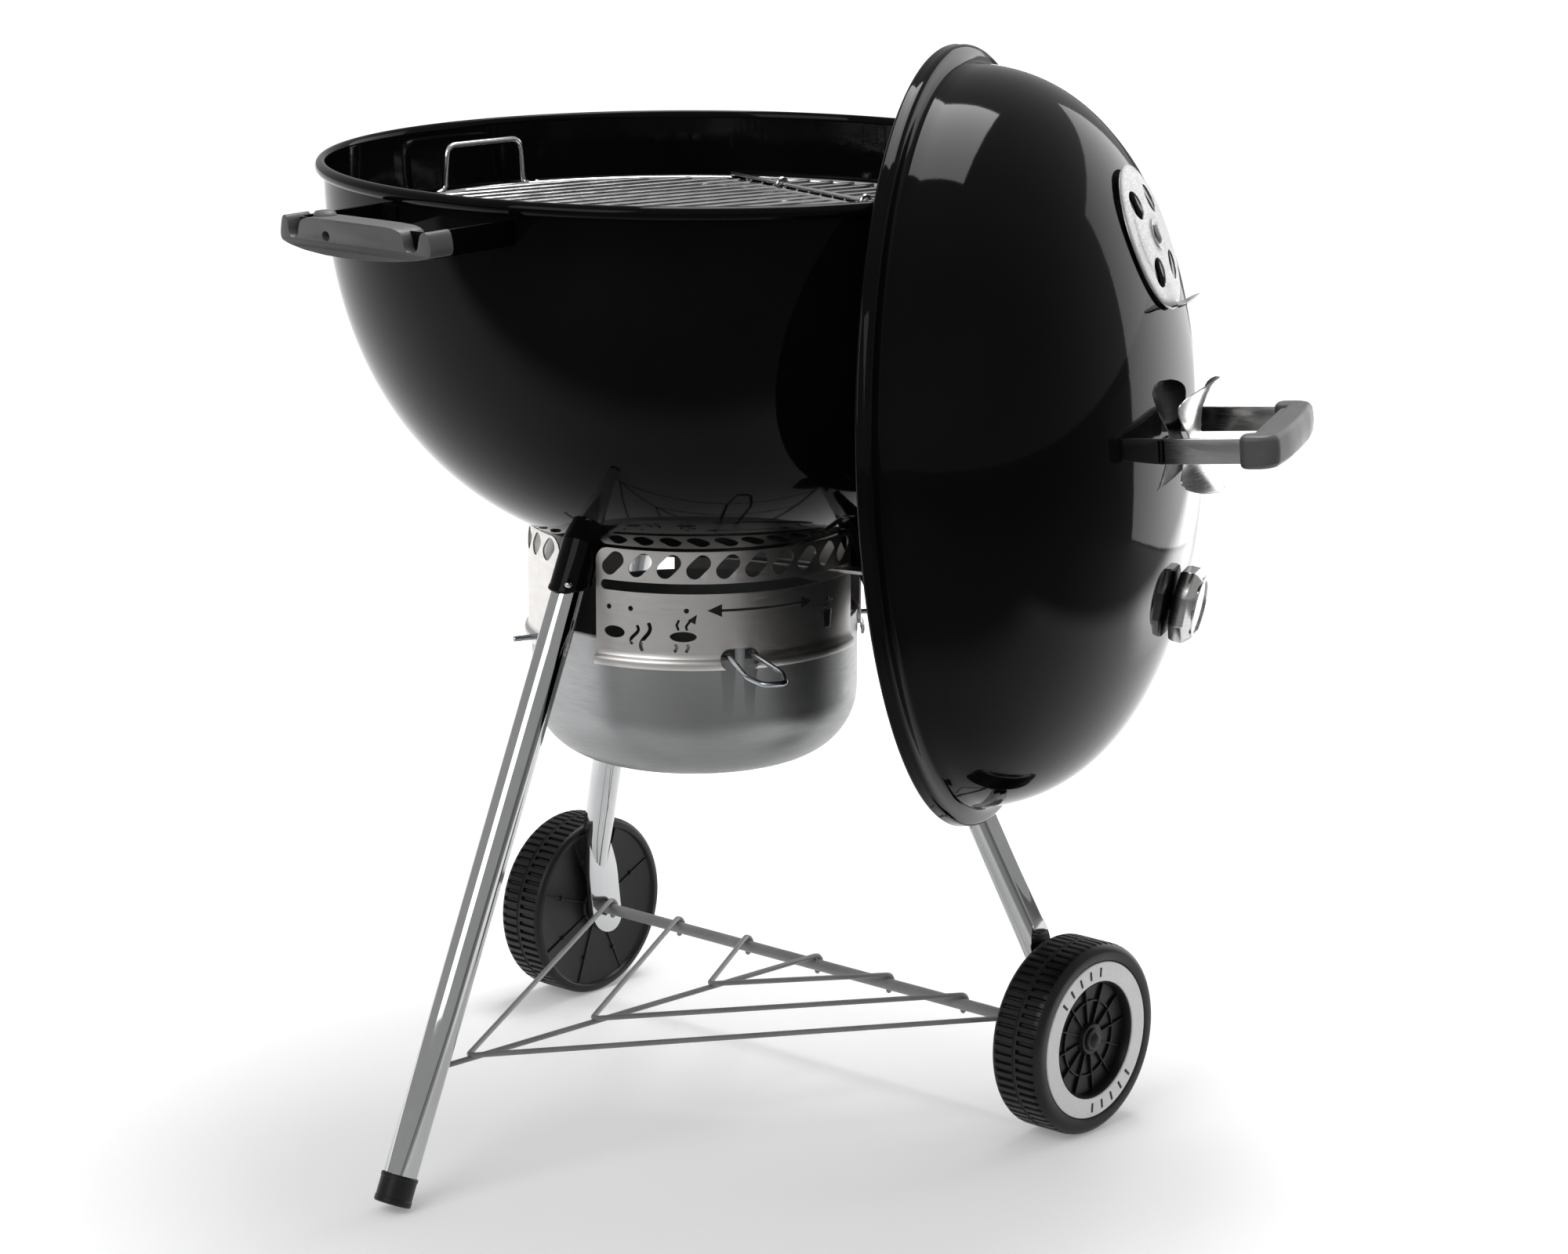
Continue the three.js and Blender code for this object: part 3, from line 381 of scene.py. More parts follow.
class Nodes:
    """A short way to write a material's nodes."""

    def __init__(self, name):
        self.material = bpy.data.materials.new(name)
        self.material.use_nodes = True
        self.tree = self.material.node_tree
        self.shader = self.tree.nodes["Principled BSDF"]

    def give(self, socket, value):
        """Links a socket to another node's, or sets its value."""
        if isinstance(value, bpy.types.NodeSocket):
            self.tree.links.new(value, socket)
        else:
            socket.default_value = value

    def add(self, kind, inputs=None, **settings):
        node = self.tree.nodes.new("ShaderNode" + kind)
        for key, value in settings.items():
            setattr(node, key, value)
        for key, value in (inputs or {}).items():
            self.give(node.inputs[key], value)
        return node

    def place(self, stretch=(1, 1, 1)):
        """The object's own coordinates, in metres, stretched."""
        coordinates = self.add("TexCoord").outputs["Object"]
        return self.add("Mapping", {"Vector": coordinates, "Scale": stretch}).outputs["Vector"]

    def distance(self, direction):
        """How far a point lies along a direction."""
        inputs = {0: self.place(), 1: direction}
        return self.add("VectorMath", inputs, operation="DOT_PRODUCT").outputs["Value"]

    def maths(self, operation, first, second):
        return self.add("Math", {0: first, 1: second}, operation=operation).outputs["Value"]

    def noise(self, scale, detail=3.0, stretch=(1, 1, 1)):
        inputs = {"Vector": self.place(stretch), "Scale": scale, "Detail": detail}
        return self.add("TexNoise", inputs).outputs["Fac"]

    def spread(self, value, low, high, start=0.3, end=0.7):
        inputs = {"Value": value, "From Min": start, "From Max": end, "To Min": low, "To Max": high}
        return self.add("MapRange", inputs).outputs["Result"]

    def mix(self, factor, first, second):
        return self.add("Mix", {0: factor, 6: first, 7: second}, data_type="RGBA").outputs[2]

    def bump(self, height, depth, strength=1.0, before=None):
        """depth is in metres."""
        inputs = {"Height": height, "Distance": depth, "Strength": strength}
        if before:
            inputs["Normal"] = before
        return self.add("Bump", inputs).outputs["Normal"]

    def set(self, **values):
        for key, value in values.items():
            self.give(self.shader.inputs[key.replace("_", " ")], value)


def tone(value, warmth=0.0):
    """A grey, warmed or cooled a little."""
    return (value * (1 + warmth), value, value * (1 - warmth), 1)


def enamel():
    """Fired black porcelain enamel: deep gloss, a faint orange peel, a little dust haze."""
    n = Nodes("black_enamel")
    haze = n.noise(7, 5)
    peel = n.noise(210, 2)
    swell = n.noise(26, 2)
    n.set(Base_Color=n.mix(n.spread(haze, 0, 1), tone(0.0016), tone(0.0034)),
          Roughness=n.spread(haze, 0.03, 0.07), IOR=1.17,
          Normal=n.bump(peel, 0.00002, 0.5, n.bump(swell, 0.00006, 0.6)))
    return n.material


def metal(name, dark, light, rough, warmth=0.0, stretch=(1, 1, 1), scale=20, lines=0.0, depth=0.00001):
    """Bare or plated metal. lines is how strongly drawn or brushed lines show along the stretch."""
    n = Nodes(name)
    clouds = n.noise(scale, 4)
    grain = n.noise(60, 4, stretch)
    cloudy = n.mix(n.spread(clouds, 0, 1), tone(dark, warmth), tone(light, warmth))
    lined = n.mix(n.spread(grain, 0, lines), cloudy, tone(dark * 0.72, warmth))
    n.set(Base_Color=lined, Metallic=1.0, Roughness=n.spread(grain, *rough),
          Normal=n.bump(grain, depth, 0.6, n.bump(clouds, 0.00004, 0.35)))
    return n.material


def plastic(name, dark, light, rough, grain_scale=900, depth=0.00005, specular=0.5, warmth=0.0):
    """Moulded plastic or coated wire with a fine grain and faint rubbed patches."""
    n = Nodes(name)
    patches = n.noise(28, 5)
    grain = n.noise(grain_scale, 3)
    speck = n.mix(n.spread(grain, 0, 0.5), tone(light, warmth), tone(dark * 0.8, warmth))
    n.set(Base_Color=n.mix(n.spread(patches, 0, 1), tone(dark, warmth), speck),
          Roughness=n.spread(patches, *rough), Specular_IOR_Level=specular,
          Normal=n.bump(grain, depth, 0.7))
    return n.material


def damper_metal():
    """Stamped aluminium, speckled all over."""
    n = Nodes("damper_aluminium")
    clouds = n.noise(30, 4)
    specks = n.noise(620, 2)
    n.set(Base_Color=n.mix(n.spread(clouds, 0, 1), tone(0.36), tone(0.46)), Metallic=1.0,
          Roughness=n.spread(specks, 0.26, 0.48),
          Normal=n.bump(specks, 0.00005, 0.5, n.bump(clouds, 0.00005, 0.4)))
    return n.material


def window_glass():
    n = Nodes("window_glass")
    smears = n.noise(90, 3)
    n.set(Base_Color=n.mix(n.spread(smears, 0, 1), tone(0.93), tone(1.0)), Transmission_Weight=1.0,
          IOR=1.3, Roughness=n.spread(smears, 0.0, 0.04), Normal=n.bump(smears, 0.00001, 0.3))
    return n.material


RINGS = (1, 1, 14)          # lines at one height, round a turned or brushed piece
LOOKS = {
    "black_enamel": enamel(),
    "sweeper_aluminium": metal("sweeper_aluminium", 0.42, 0.6, (0.35, 0.5)),
    "guard_steel": metal("guard_steel", 0.68, 0.78, (0.32, 0.44), 0.03, RINGS, 16, 0.16, 0.000003),
    "bucket_aluminium": metal("bucket_aluminium", 0.3, 0.36, (0.34, 0.44), -0.01, RINGS, 9, 0.12,
                              0.000003),
    "zinc_wire": metal("zinc_wire", 0.42, 0.62, (0.16, 0.34), -0.07, (1, 1, 1), 120, 0.3),
    "leg_chrome": metal("leg_chrome", 0.5, 0.58, (0.035, 0.09), -0.01, (4, 4, 0.4), 12, 0.12, 0.000004),
    "rack_grey": plastic("rack_grey", 0.17, 0.25, (0.3, 0.42), 700, 0.00003),
    "black_plastic": plastic("black_plastic", 0.004, 0.008, (0.32, 0.48), 800, 0.00004, 0.3),
    "white_trim": plastic("white_trim", 0.66, 0.76, (0.3, 0.45), 600, 0.00002),
    "grip_nylon": plastic("grip_nylon", 0.085, 0.125, (0.38, 0.52), 1100, 0.00006, 0.45),
    "damper_aluminium": damper_metal(),
    "dial_face": plastic("dial_face", 0.62, 0.7, (0.35, 0.45), 500, 0.00001),
    "bright_steel": metal("bright_steel", 0.5, 0.62, (0.14, 0.26), 0.01, RINGS, 18, 0.2, 0.000004),
    "plated_wire": metal("plated_wire", 0.62, 0.72, (0.1, 0.18), 0.0, (1, 1, 1), 60, 0.2),
}
GLASS = window_glass()

for cad_name, look in (("lid_hook", "black_enamel"), ("thermometer_probe", "bright_steel"),
                       *((f"grate_bracket_{i}", "plated_wire") for i in range(1, 5))):
    kept = frame["nodes"][cad_name]
    kept.data.materials.clear()
    kept.data.materials.append(LOOKS[look])


# ---------------------------------------------------------------- bowl and ash sweeper

def bowl_radius(depth, offset=0.0):
    return (BOWL_R + offset) * oval(depth / (BOWL_DEPTH + offset), BOWL_POWER)


def bowl_height(radius, offset=0.0):
    """Height of the bowl's wall at a radius."""
    return RIM_Z - (BOWL_DEPTH + offset) * oval(radius / (BOWL_R + offset), BOWL_POWER)


def bowl_wall(start, offset, steps=44):
    """(radius, height) points down the wall from a depth to the bottom, on the axis."""
    found = []
    for i in range(steps + 1):
        depth = start + (BOWL_DEPTH + offset - start) * math.sin(QUARTER * i / steps)
        found.append((0 if i == steps else bowl_radius(depth, offset), RIM_Z - depth))
    return found


def add_bowl():
    bead = arc((RIM_R - 5.2, RIM_Z - 5.2), 5.2, -105, 95, 16)
    lip = [(BOWL_R - 0.6, RIM_Z - 0.7), (BOWL_R - SHEET, RIM_Z - 2.6)]
    outline = [*reversed(bowl_wall(13, 0)), *bead, *lip, *bowl_wall(6, -SHEET)]
    vents = [sector(36, 88, azimuth, 26, 430, 520) for azimuth in VENTS]
    shaft_hole = turned([(0, 430), (6.5, 430), (6.5, 480), (0, 480)], 24)
    piece("kettle_bowl", turned(outline, 192), "black_enamel", "grill", stands_for="bowl",
          cutters=[*vents, shaft_hole], sharp=40)


def add_sweeper():
    """Three curved blades on a hub, just above the bottom of the bowl, and their lever below it."""
    blades = []
    lips = [1.5 if j in (0, 14) else 0 for j in range(15)]
    for azimuth in VENTS:
        top, bottom = [], []
        for i in range(13):
            radius = 11 + 83 * i / 12
            half = 30 if radius < 84 else 30 - (radius - 84) * 0.35
            turns = [azimuth + 91.5 - half + 2 * half * j / 14 for j in range(15)]
            floor = bowl_height(radius, -SHEET)
            top.append([polar(t, radius, floor + 3.3 + lip) for t, lip in zip(turns, lips)])
            bottom.append([polar(t, radius, floor + 1.8) for t in turns])
        blades.append(skin(top, bottom))
    low = RIM_Z - BOWL_DEPTH + SHEET
    hub = turned([(0, low + 2), (12.5, low + 2), (13, low + 3), (12, low + 8), (9, low + 9.4),
                  (0, low + 9.6)], 40)
    shaft = turned([(0, LEVER_Z - 4), (4.6, LEVER_Z - 4), (5.5, LEVER_Z - 3), (5.5, low + 5),
                    (0, low + 5)], 24)
    piece("sweeper_blades", joined(*blades, hub, shaft), "sweeper_aluminium", "ash_sweeper",
          stands_for="ash_sweeper")

    arm_plan = rounded([(-11, -9), (11, -9), (7, 60), (7, 150), (-7, 150), (-7, 60)], 6)
    arm = extruded(arm_plan, LEVER_Z - 1.3, LEVER_Z + 1.3)
    tab_plan = rounded([(-7.5, -3), (7.5, -3), (7.5, 14), (-7.5, 14)], 5)
    upright = basis(Vector((1, 0, 0)), UP, Vector((0, -1, 0)), (0, 150, LEVER_Z))
    tab = placed(extruded(tab_plan, -1.3, 1.3), upright)
    boss = turned([(5.9, -3.2), (11.5, -3.2), (12, -2.6), (12, 0), (5.9, 0)], 32)
    boss = placed(boss, Matrix.Translation((0, 0, LEVER_Z)))
    turn = Matrix.Rotation(math.radians(180 + LEVER_AZIMUTH), 4, "Z")
    hole = turned([(0, 430), (5.9, 430), (5.9, 460), (0, 460)], 24)
    piece("lever", placed(joined(arm, tab), turn), "guard_steel", "ash_sweeper",
          stands_for="damper_lever", cutters=[placed(hole, turn)], bevel=0.5)
    piece("lever_boss", placed(boss, turn), "guard_steel", "ash_sweeper")


# ---------------------------------------------------------------- ash guard and bucket

def through(outline, azimuth, height, reach=7):
    """A cutter through the guard: an outline of (arc length, height) points, wrapped round it."""
    def loop(radius):
        return [polar(azimuth + math.degrees(x / GUARD_R), radius, height + y) for x, y in outline]
    return lofted([loop(GUARD_R - reach), loop(GUARD_R + reach)])


def ribbon(stations, reach=7):
    """A cutter through the guard from (azimuth, low, high) stations."""
    near, far = GUARD_R - reach, GUARD_R + reach
    return lofted([[polar(a, near, low), polar(a, far, low), polar(a, far, high), polar(a, near, high)]
                   for a, low, high in stations])


def level_slot(start, end, height, radius):
    """A slot with round ends."""
    reach = math.degrees(radius / GUARD_R)
    stations = []
    for i in range(41):
        azimuth = start + (end - start) * (0.5 - 0.5 * math.cos(math.pi * i / 40))
        inset = max(1 - min(azimuth - start, end - azimuth) / reach, 0)
        half = max(radius * math.sqrt(max(1 - inset ** 2, 0)), 0.2)
        stations.append((azimuth, height - half, height + half))
    return ribbon(stations)


def disc(radius_x, radius_y, count=28):
    turns = [2 * math.pi * i / count for i in range(count)]
    return [(radius_x * math.cos(t), radius_y * math.sin(t)) for t in turns]


def stroke(points, width):
    """The outline of a line of even width through (x, y) points, with round ends."""
    left, right = edges_of([Vector(p) for p in points], width)
    return rounded([*left, *reversed(right)], width * 0.4, 3)


def wave(height, sway):
    """A line that rises and sways once, as rising smoke is drawn."""
    shares = [i / 12 - 0.5 for i in range(13)]
    return [(sway * math.sin(1.8 * math.pi * t) + 0.12 * height * t, height * t) for t in shares]


def guard_marks():
    """Plain cut-through marks under the lever's slot: closed, smoking, open and sweep."""
    dots = [through(disc(2, 2, 16), azimuth, 429) for azimuth in (-47.6, -39.6, -20.5)]
    shut = through(disc(8.6, 4.6), -45.6, 410)
    smoke = [through(stroke(wave(15, 2.6), 2.6), -38.2, 409),
             through(stroke(wave(22, 3), 3), -34.4, 408)]
    wide_open = through(disc(10.2, 4), -21.6, 409)
    streams = [through(stroke([(-3.4, 5), (-5, 9), (-3, 13)], 2), -21.6, 409),
               through(stroke([(3, 5), (2, 8), (5, 12), (7, 14)], 2), -21.6, 409),
               through([(3.6, 13), (10.4, 17.4), (9, 9.6)], -21.6, 409),
               through(stroke([(-6, -5.6), (-4.6, -8), (-6.6, -12)], 2.4), -21.6, 409),
               through(stroke([(3, -5.6), (4, -8), (2, -12)], 2.4), -21.6, 409)]
    arrow = [ribbon([(-9.4 + i * 2.06, 428.1, 430.1) for i in range(16)]),
             through([(-10.5, 0), (0.6, -5), (0.6, 5)], -8.9, 429.1),
             through([(10.5, 0), (-0.6, 5), (-0.6, -5)], 21.0, 429.1)]
    ash_bin = [through([(-5.4, 6), (5.4, 6), (3.8, -8), (-3.8, -8)], 33.6, 413),
               through(stroke([(-6.6, -1.6), (0, 0.4), (6, 3.2)], 2), 33.6, 423),
               through([(-1, 2.6), (2.8, 4), (2, 6.4), (-1.8, 5)], 33.6, 423)]
    return [*dots, shut, *smoke, wide_open, *streams, *arrow, *ash_bin]


def guard_panel(centre):
    """A curved panel with round upper corners and a rolled flange along its bottom."""
    corner = 11
    loops = []
    for i in range(97):
        azimuth = centre + GUARD_HALF * math.sin(QUARTER * (i / 48 - 1))
        inset = math.radians(GUARD_HALF - abs(azimuth - centre)) * GUARD_R
        short = max(corner - inset, 0)
        top = GUARD_TOP - corner + math.sqrt(max(corner ** 2 - short ** 2, 0.01))
        outer = [(0, top), (0, 462), (0, 430), (0, 397), (0, 393), (1, 391.2), (2.6, 390), (3, 388.4),
                 (3, 385.6), (2.4, 383.6), (1, 383)]
        inner = [(0, 384.2), (1.4, 385.2), (1.8, 386.6), (1.5, 388.8), (-0.3, 390.4), (-1.2, 392.6),
                 (-1.2, 397), (-1.2, 430), (-1.2, 462), (-1.2, top)]
        loops.append([polar(azimuth, GUARD_R + r, min(z, top)) for r, z in outer + inner])
    return lofted(loops)


def add_guard():
    lean = [Vector((3.1, 3.1)), Vector((-3.1, -3.1))]
    obround = arc(lean[0], 6.2, -45, 135, 10) + arc(lean[1], 6.2, 135, 315, 10)
    for name, turn in (("front", 0), ("right", 120), ("left", -120)):
        centre = GUARD_CENTRE + turn
        cutters = [through(obround, centre + 9.9 * (i - 4.5), 462.5) for i in range(10)]
        if name == "front":
            cutters.append(level_slot(centre - 49.2, centre + 49.2, LEVER_Z, 3.9))
            cutters.append(level_slot(-9.3, 4.3, 391, 8.5))
            cutters += guard_marks()
        else:
            cutters.append(through([(-5.6, -12), (5.6, -12), (5.6, 3), (0, 5.5), (-5.6, 3)],
                                   80 * (1 if turn > 0 else -1), 394))
        piece(f"guard_{name}", guard_panel(centre), "guard_steel", "grill",
              stands_for=f"ash_guard_{name}", cutters=cutters, sharp=40)


def add_bucket():
    def wall(offset):
        centre = (BUCKET_R - BUCKET_CORNER, BUCKET_BOTTOM + BUCKET_CORNER)
        return [(0, BUCKET_BOTTOM - offset), *arc(centre, BUCKET_CORNER + offset, -90, 0, 22)]
    hem = [(BUCKET_R, BUCKET_TOP - 3), (BUCKET_R + 0.6, BUCKET_TOP - 1.4), (BUCKET_R, BUCKET_TOP),
           (BUCKET_R - 1.6, BUCKET_TOP), (BUCKET_R - 1.8, BUCKET_TOP - 2.4)]
    holes = []
    for azimuth, half in ((-6.4, 2.4), (1.9, 2.4), (-80, 1.8), (80, 1.8)):
        holes.append(sector(120, 132, azimuth, half, CATCH_Z - 4, CATCH_Z + 4, 3))
    outline = [*wall(0), *hem, *reversed(wall(-1.3))]
    piece("bucket", turned(outline, 144), "bucket_aluminium", "ash_bucket", stands_for="ash_bucket",
          cutters=holes, sharp=45)

    def arm(start, end):
        return [polar(start + (end - start) * i / 10, 120, CATCH_Z) for i in range(11)]
    path = [polar(-80, 155, CATCH_Z), polar(-80, 122, CATCH_Z), *arm(-76, -10),
            polar(-6.6, 124, CATCH_Z), polar(-6.2, 146, CATCH_Z - 1), polar(-5.4, 176, CATCH_Z - 5),
            polar(-2.6, 195, CATCH_Z - 7), polar(2.4, 195, CATCH_Z - 7), polar(4.4, 172, CATCH_Z - 5),
            polar(2.6, 142, CATCH_Z - 1), polar(1.6, 124, CATCH_Z), *arm(6, 76),
            polar(80, 122, CATCH_Z), polar(80, 155, CATCH_Z)]
    piece("catch_wire", wire(path, 2.1, 14, 6), "zinc_wire", "ash_bucket", stands_for="bucket_catch_wire")


# ---------------------------------------------------------------- legs, rack and axle

def leg_radius(z):
    return LEG_TOP_R + (LEG_TOP_Z - z) * LEG_SPREAD


AXLE_OUT = polar(AXLE_AZIMUTH - 90, 1)
AXLE_MIDDLE = polar(AXLE_AZIMUTH, AXLE_OFFSET, WHEEL_R)


def leg_point(azimuth, x, y, z):
    """A point in a leg's level section: x outwards, y sideways."""
    stretch = math.hypot(1, LEG_SPREAD)
    return polar(azimuth, leg_radius(z) + x * stretch, z) + polar(azimuth + 90, y)


def ease(value, low, high):
    t = min(max((value - low) / (high - low), 0), 1)
    return t * t * (3 - 2 * t)


def wheel_leg_plate(side):
    """The flat lower end of a wheel's leg, where the axle goes through."""
    axle = AXLE_OUT * side
    heights = [PLATE_BOTTOM + 17 * (1 - math.cos(QUARTER * i / 8)) for i in range(8)]
    heights += [PLATE_BOTTOM + 17 + (PLATE_TOP - PLATE_BOTTOM - 17) * i / 20 for i in range(21)]
    loops = []
    for z in heights:
        below = max((PLATE_BOTTOM + 17 - z) / 17, 0)
        half = (17.1 - 6.1 * ease(z, 104, PLATE_TOP)) * math.sqrt(max(1 - below ** 2, 0.02))
        middle = leg_radius(z) / 2 - 5.7 * (1 - ease(z, 60, 140))
        loops.append([polar(AXLE_AZIMUTH, middle + across, z) + axle * (PLATE_OUT + thick)
                      for thick, across in ((-2.5, -half), (2.5, -half), (2.5, half), (-2.5, half))])
    return lofted(loops)


def beyond_plate(side):
    """A block that takes the wheel's side off a leg's tube, level with its plate."""
    axle = AXLE_OUT * side
    across = Vector((-axle.y, axle.x, 0))
    block = box((60, 240, 240), (PLATE_OUT + 32.5, 0, 110))
    return placed(block, basis(axle, across, UP, polar(AXLE_AZIMUTH, AXLE_OFFSET)))


def snap_turn(azimuth):
    return along(polar(azimuth, leg_radius(SNAP_Z), SNAP_Z), polar(azimuth + 35, 1))


def add_leg(name, azimuth, side):
    body_name = f"{name}_snap_button"
    hole = placed(turned([(0, 8), (3.4, 8), (3.4, 30), (0, 30)], 24), snap_turn(azimuth))
    loops = []
    for z in (84 if side else 13, 140, 220, 300, 380, 462):
        turns = [2 * math.pi * k / 48 for k in range(48)]
        loops.append([leg_point(azimuth, LEG_R * math.cos(t), LEG_R * math.sin(t), z) for t in turns])
    cutters = [hole, beyond_plate(side)] if side else [hole]
    piece(f"{name}_chrome", lofted(loops), "leg_chrome", "grill", stands_for=f"{name}_tube",
          cutters=cutters, bevel=0.8, sharp=40)
    if side:
        bore = turned([(0, -300), (AXLE_R + 0.35, -300), (AXLE_R + 0.35, 300), (0, 300)], 32)
        piece(f"{name}_plate", wheel_leg_plate(side), "leg_chrome", "grill",
              cutters=[placed(bore, along(AXLE_MIDDLE, AXLE_OUT))], bevel=0.8, sharp=40)

    # The socket: a sleeve with a rolled lower lip.
    wall = [(LEG_R + 0.35, 441), (LEG_R + 2.2, 441), (LEG_R + 3, 442), (LEG_R + 3, 444),
            (LEG_R + 2.4, 445.5), (LEG_R + 2.4, 505), (LEG_R + 0.35, 505)]
    sleeve = bent(turned(wall, 48), lambda p: leg_point(azimuth, p.x, p.y, p.z))
    bowl_plug = turned([*reversed(bowl_wall(12, 0.3, 24)), (0, RIM_Z - 12)], 96)
    piece(f"{name}_sleeve", sleeve, "black_enamel", "grill", stands_for=f"{name}_socket",
          cutters=[bowl_plug, hole], sharp=40)
    dome = arc((0, 17.2), 2.9, 20, 90, 5)[:-1]
    pin = turned([(0, 7.5), (2.9, 7.5), (2.9, 17.2), *dome, (0, 18.9)], 24)
    piece(f"{name}_button", placed(pin, snap_turn(azimuth)), "leg_chrome", body_name, stands_for=body_name)


RACK_Z = WHEEL_R + AXLE_R + RACK_R + 0.3
TO_FOOT = polar(LEGS["foot_leg"], 1)


def rack_hook(out):
    """The end of a rack wire, curled over the axle at a distance along it."""
    over = AXLE_MIDDLE + AXLE_OUT * out
    lift = AXLE_R + RACK_R + 0.35
    found = []
    for turn in (-165, -140, -115, -90, -60, -30, 0):
        a = math.radians(turn)
        found.append(over + TO_FOOT * (lift * math.sin(a)) + UP * (lift * math.cos(a)))
    return found


def add_rack():
    meets = leg_radius(RACK_FRONT_Z)

    def height(s):
        return RACK_Z + (RACK_FRONT_Z - RACK_Z) * (s + AXLE_OFFSET) / (meets + AXLE_OFFSET)
    wires = [wire([*rack_hook(0), polar(LEGS["foot_leg"], meets - 9, RACK_FRONT_Z)], RACK_R, 12)]
    for apex, end in ((254, 230), (119, 153), (-16, 76)):
        tip = polar(LEGS["foot_leg"], apex, height(apex) + RACK_R * 1.5)
        left, right = rack_hook(-end), rack_hook(end)
        run = lambda hook: [hook[-1].lerp(tip, t) for t in (0.06, 0.5, 0.9)]
        path = [*left, *run(left), tip, *reversed(run(right)), *reversed(right)]
        wires.append(wire(rounded(path, 7, 4, False), RACK_R, 12))
    piece("rack_wires", joined(*wires), "rack_grey", "grill", stands_for="lower_rack")
    half = 284
    axle = turned([(0, -half), (AXLE_R - 0.8, -half), (AXLE_R, -half + 0.8), (AXLE_R, half - 0.8),
                   (AXLE_R - 0.8, half), (0, half)], 32)
    piece("axle_rod", placed(axle, along(AXLE_MIDDLE, AXLE_OUT)), "rack_grey", "grill", stands_for="axle")


def add_foot_cap():
    """A cap pushed square onto the end of the foot leg, so that it stands on its inner edge."""
    r = LEG_R
    azimuth = LEGS["foot_leg"]
    lean = math.atan(LEG_SPREAD)
    low = (r + 1.5) * math.sin(lean)
    outline = [(0, 0), (r + 0.6, 0), (r + 1.5, 0.9), (r + 1.5, 4.4), (r + 1.1, 5), (r + 1.1, 19),
               (r + 1.5, 19.6), (r + 1.5, 21.4), (r + 0.9, 22.2), (r + 0.3, 22.2), (r + 0.3, 3), (0, 3)]
    upward = UP - polar(azimuth, LEG_SPREAD)
    cap = placed(turned(outline, 64), along(polar(azimuth, leg_radius(low), low), upward))
    piece("foot_leg_cap", cap, "black_plastic", "grill", stands_for="foot_cap", sharp=25)


# ---------------------------------------------------------------- wheels

def tread(p):
    """Two rows of ribs across the tread, a half step apart."""
    radius = math.hypot(p.x, p.y)
    if radius < WHEEL_R - 2.6 or not 1.9 < abs(p.z) < 17.6:
        return p
    ribs = 66
    phase = (math.atan2(p.y, p.x) / (2 * math.pi) * ribs + (0.5 if p.z > 0 else 0) + 0.01) % 1
    deep = 2.2 if phase > 0.62 else 0.0
    return Vector((p.x * (1 - deep / radius), p.y * (1 - deep / radius), p.z))


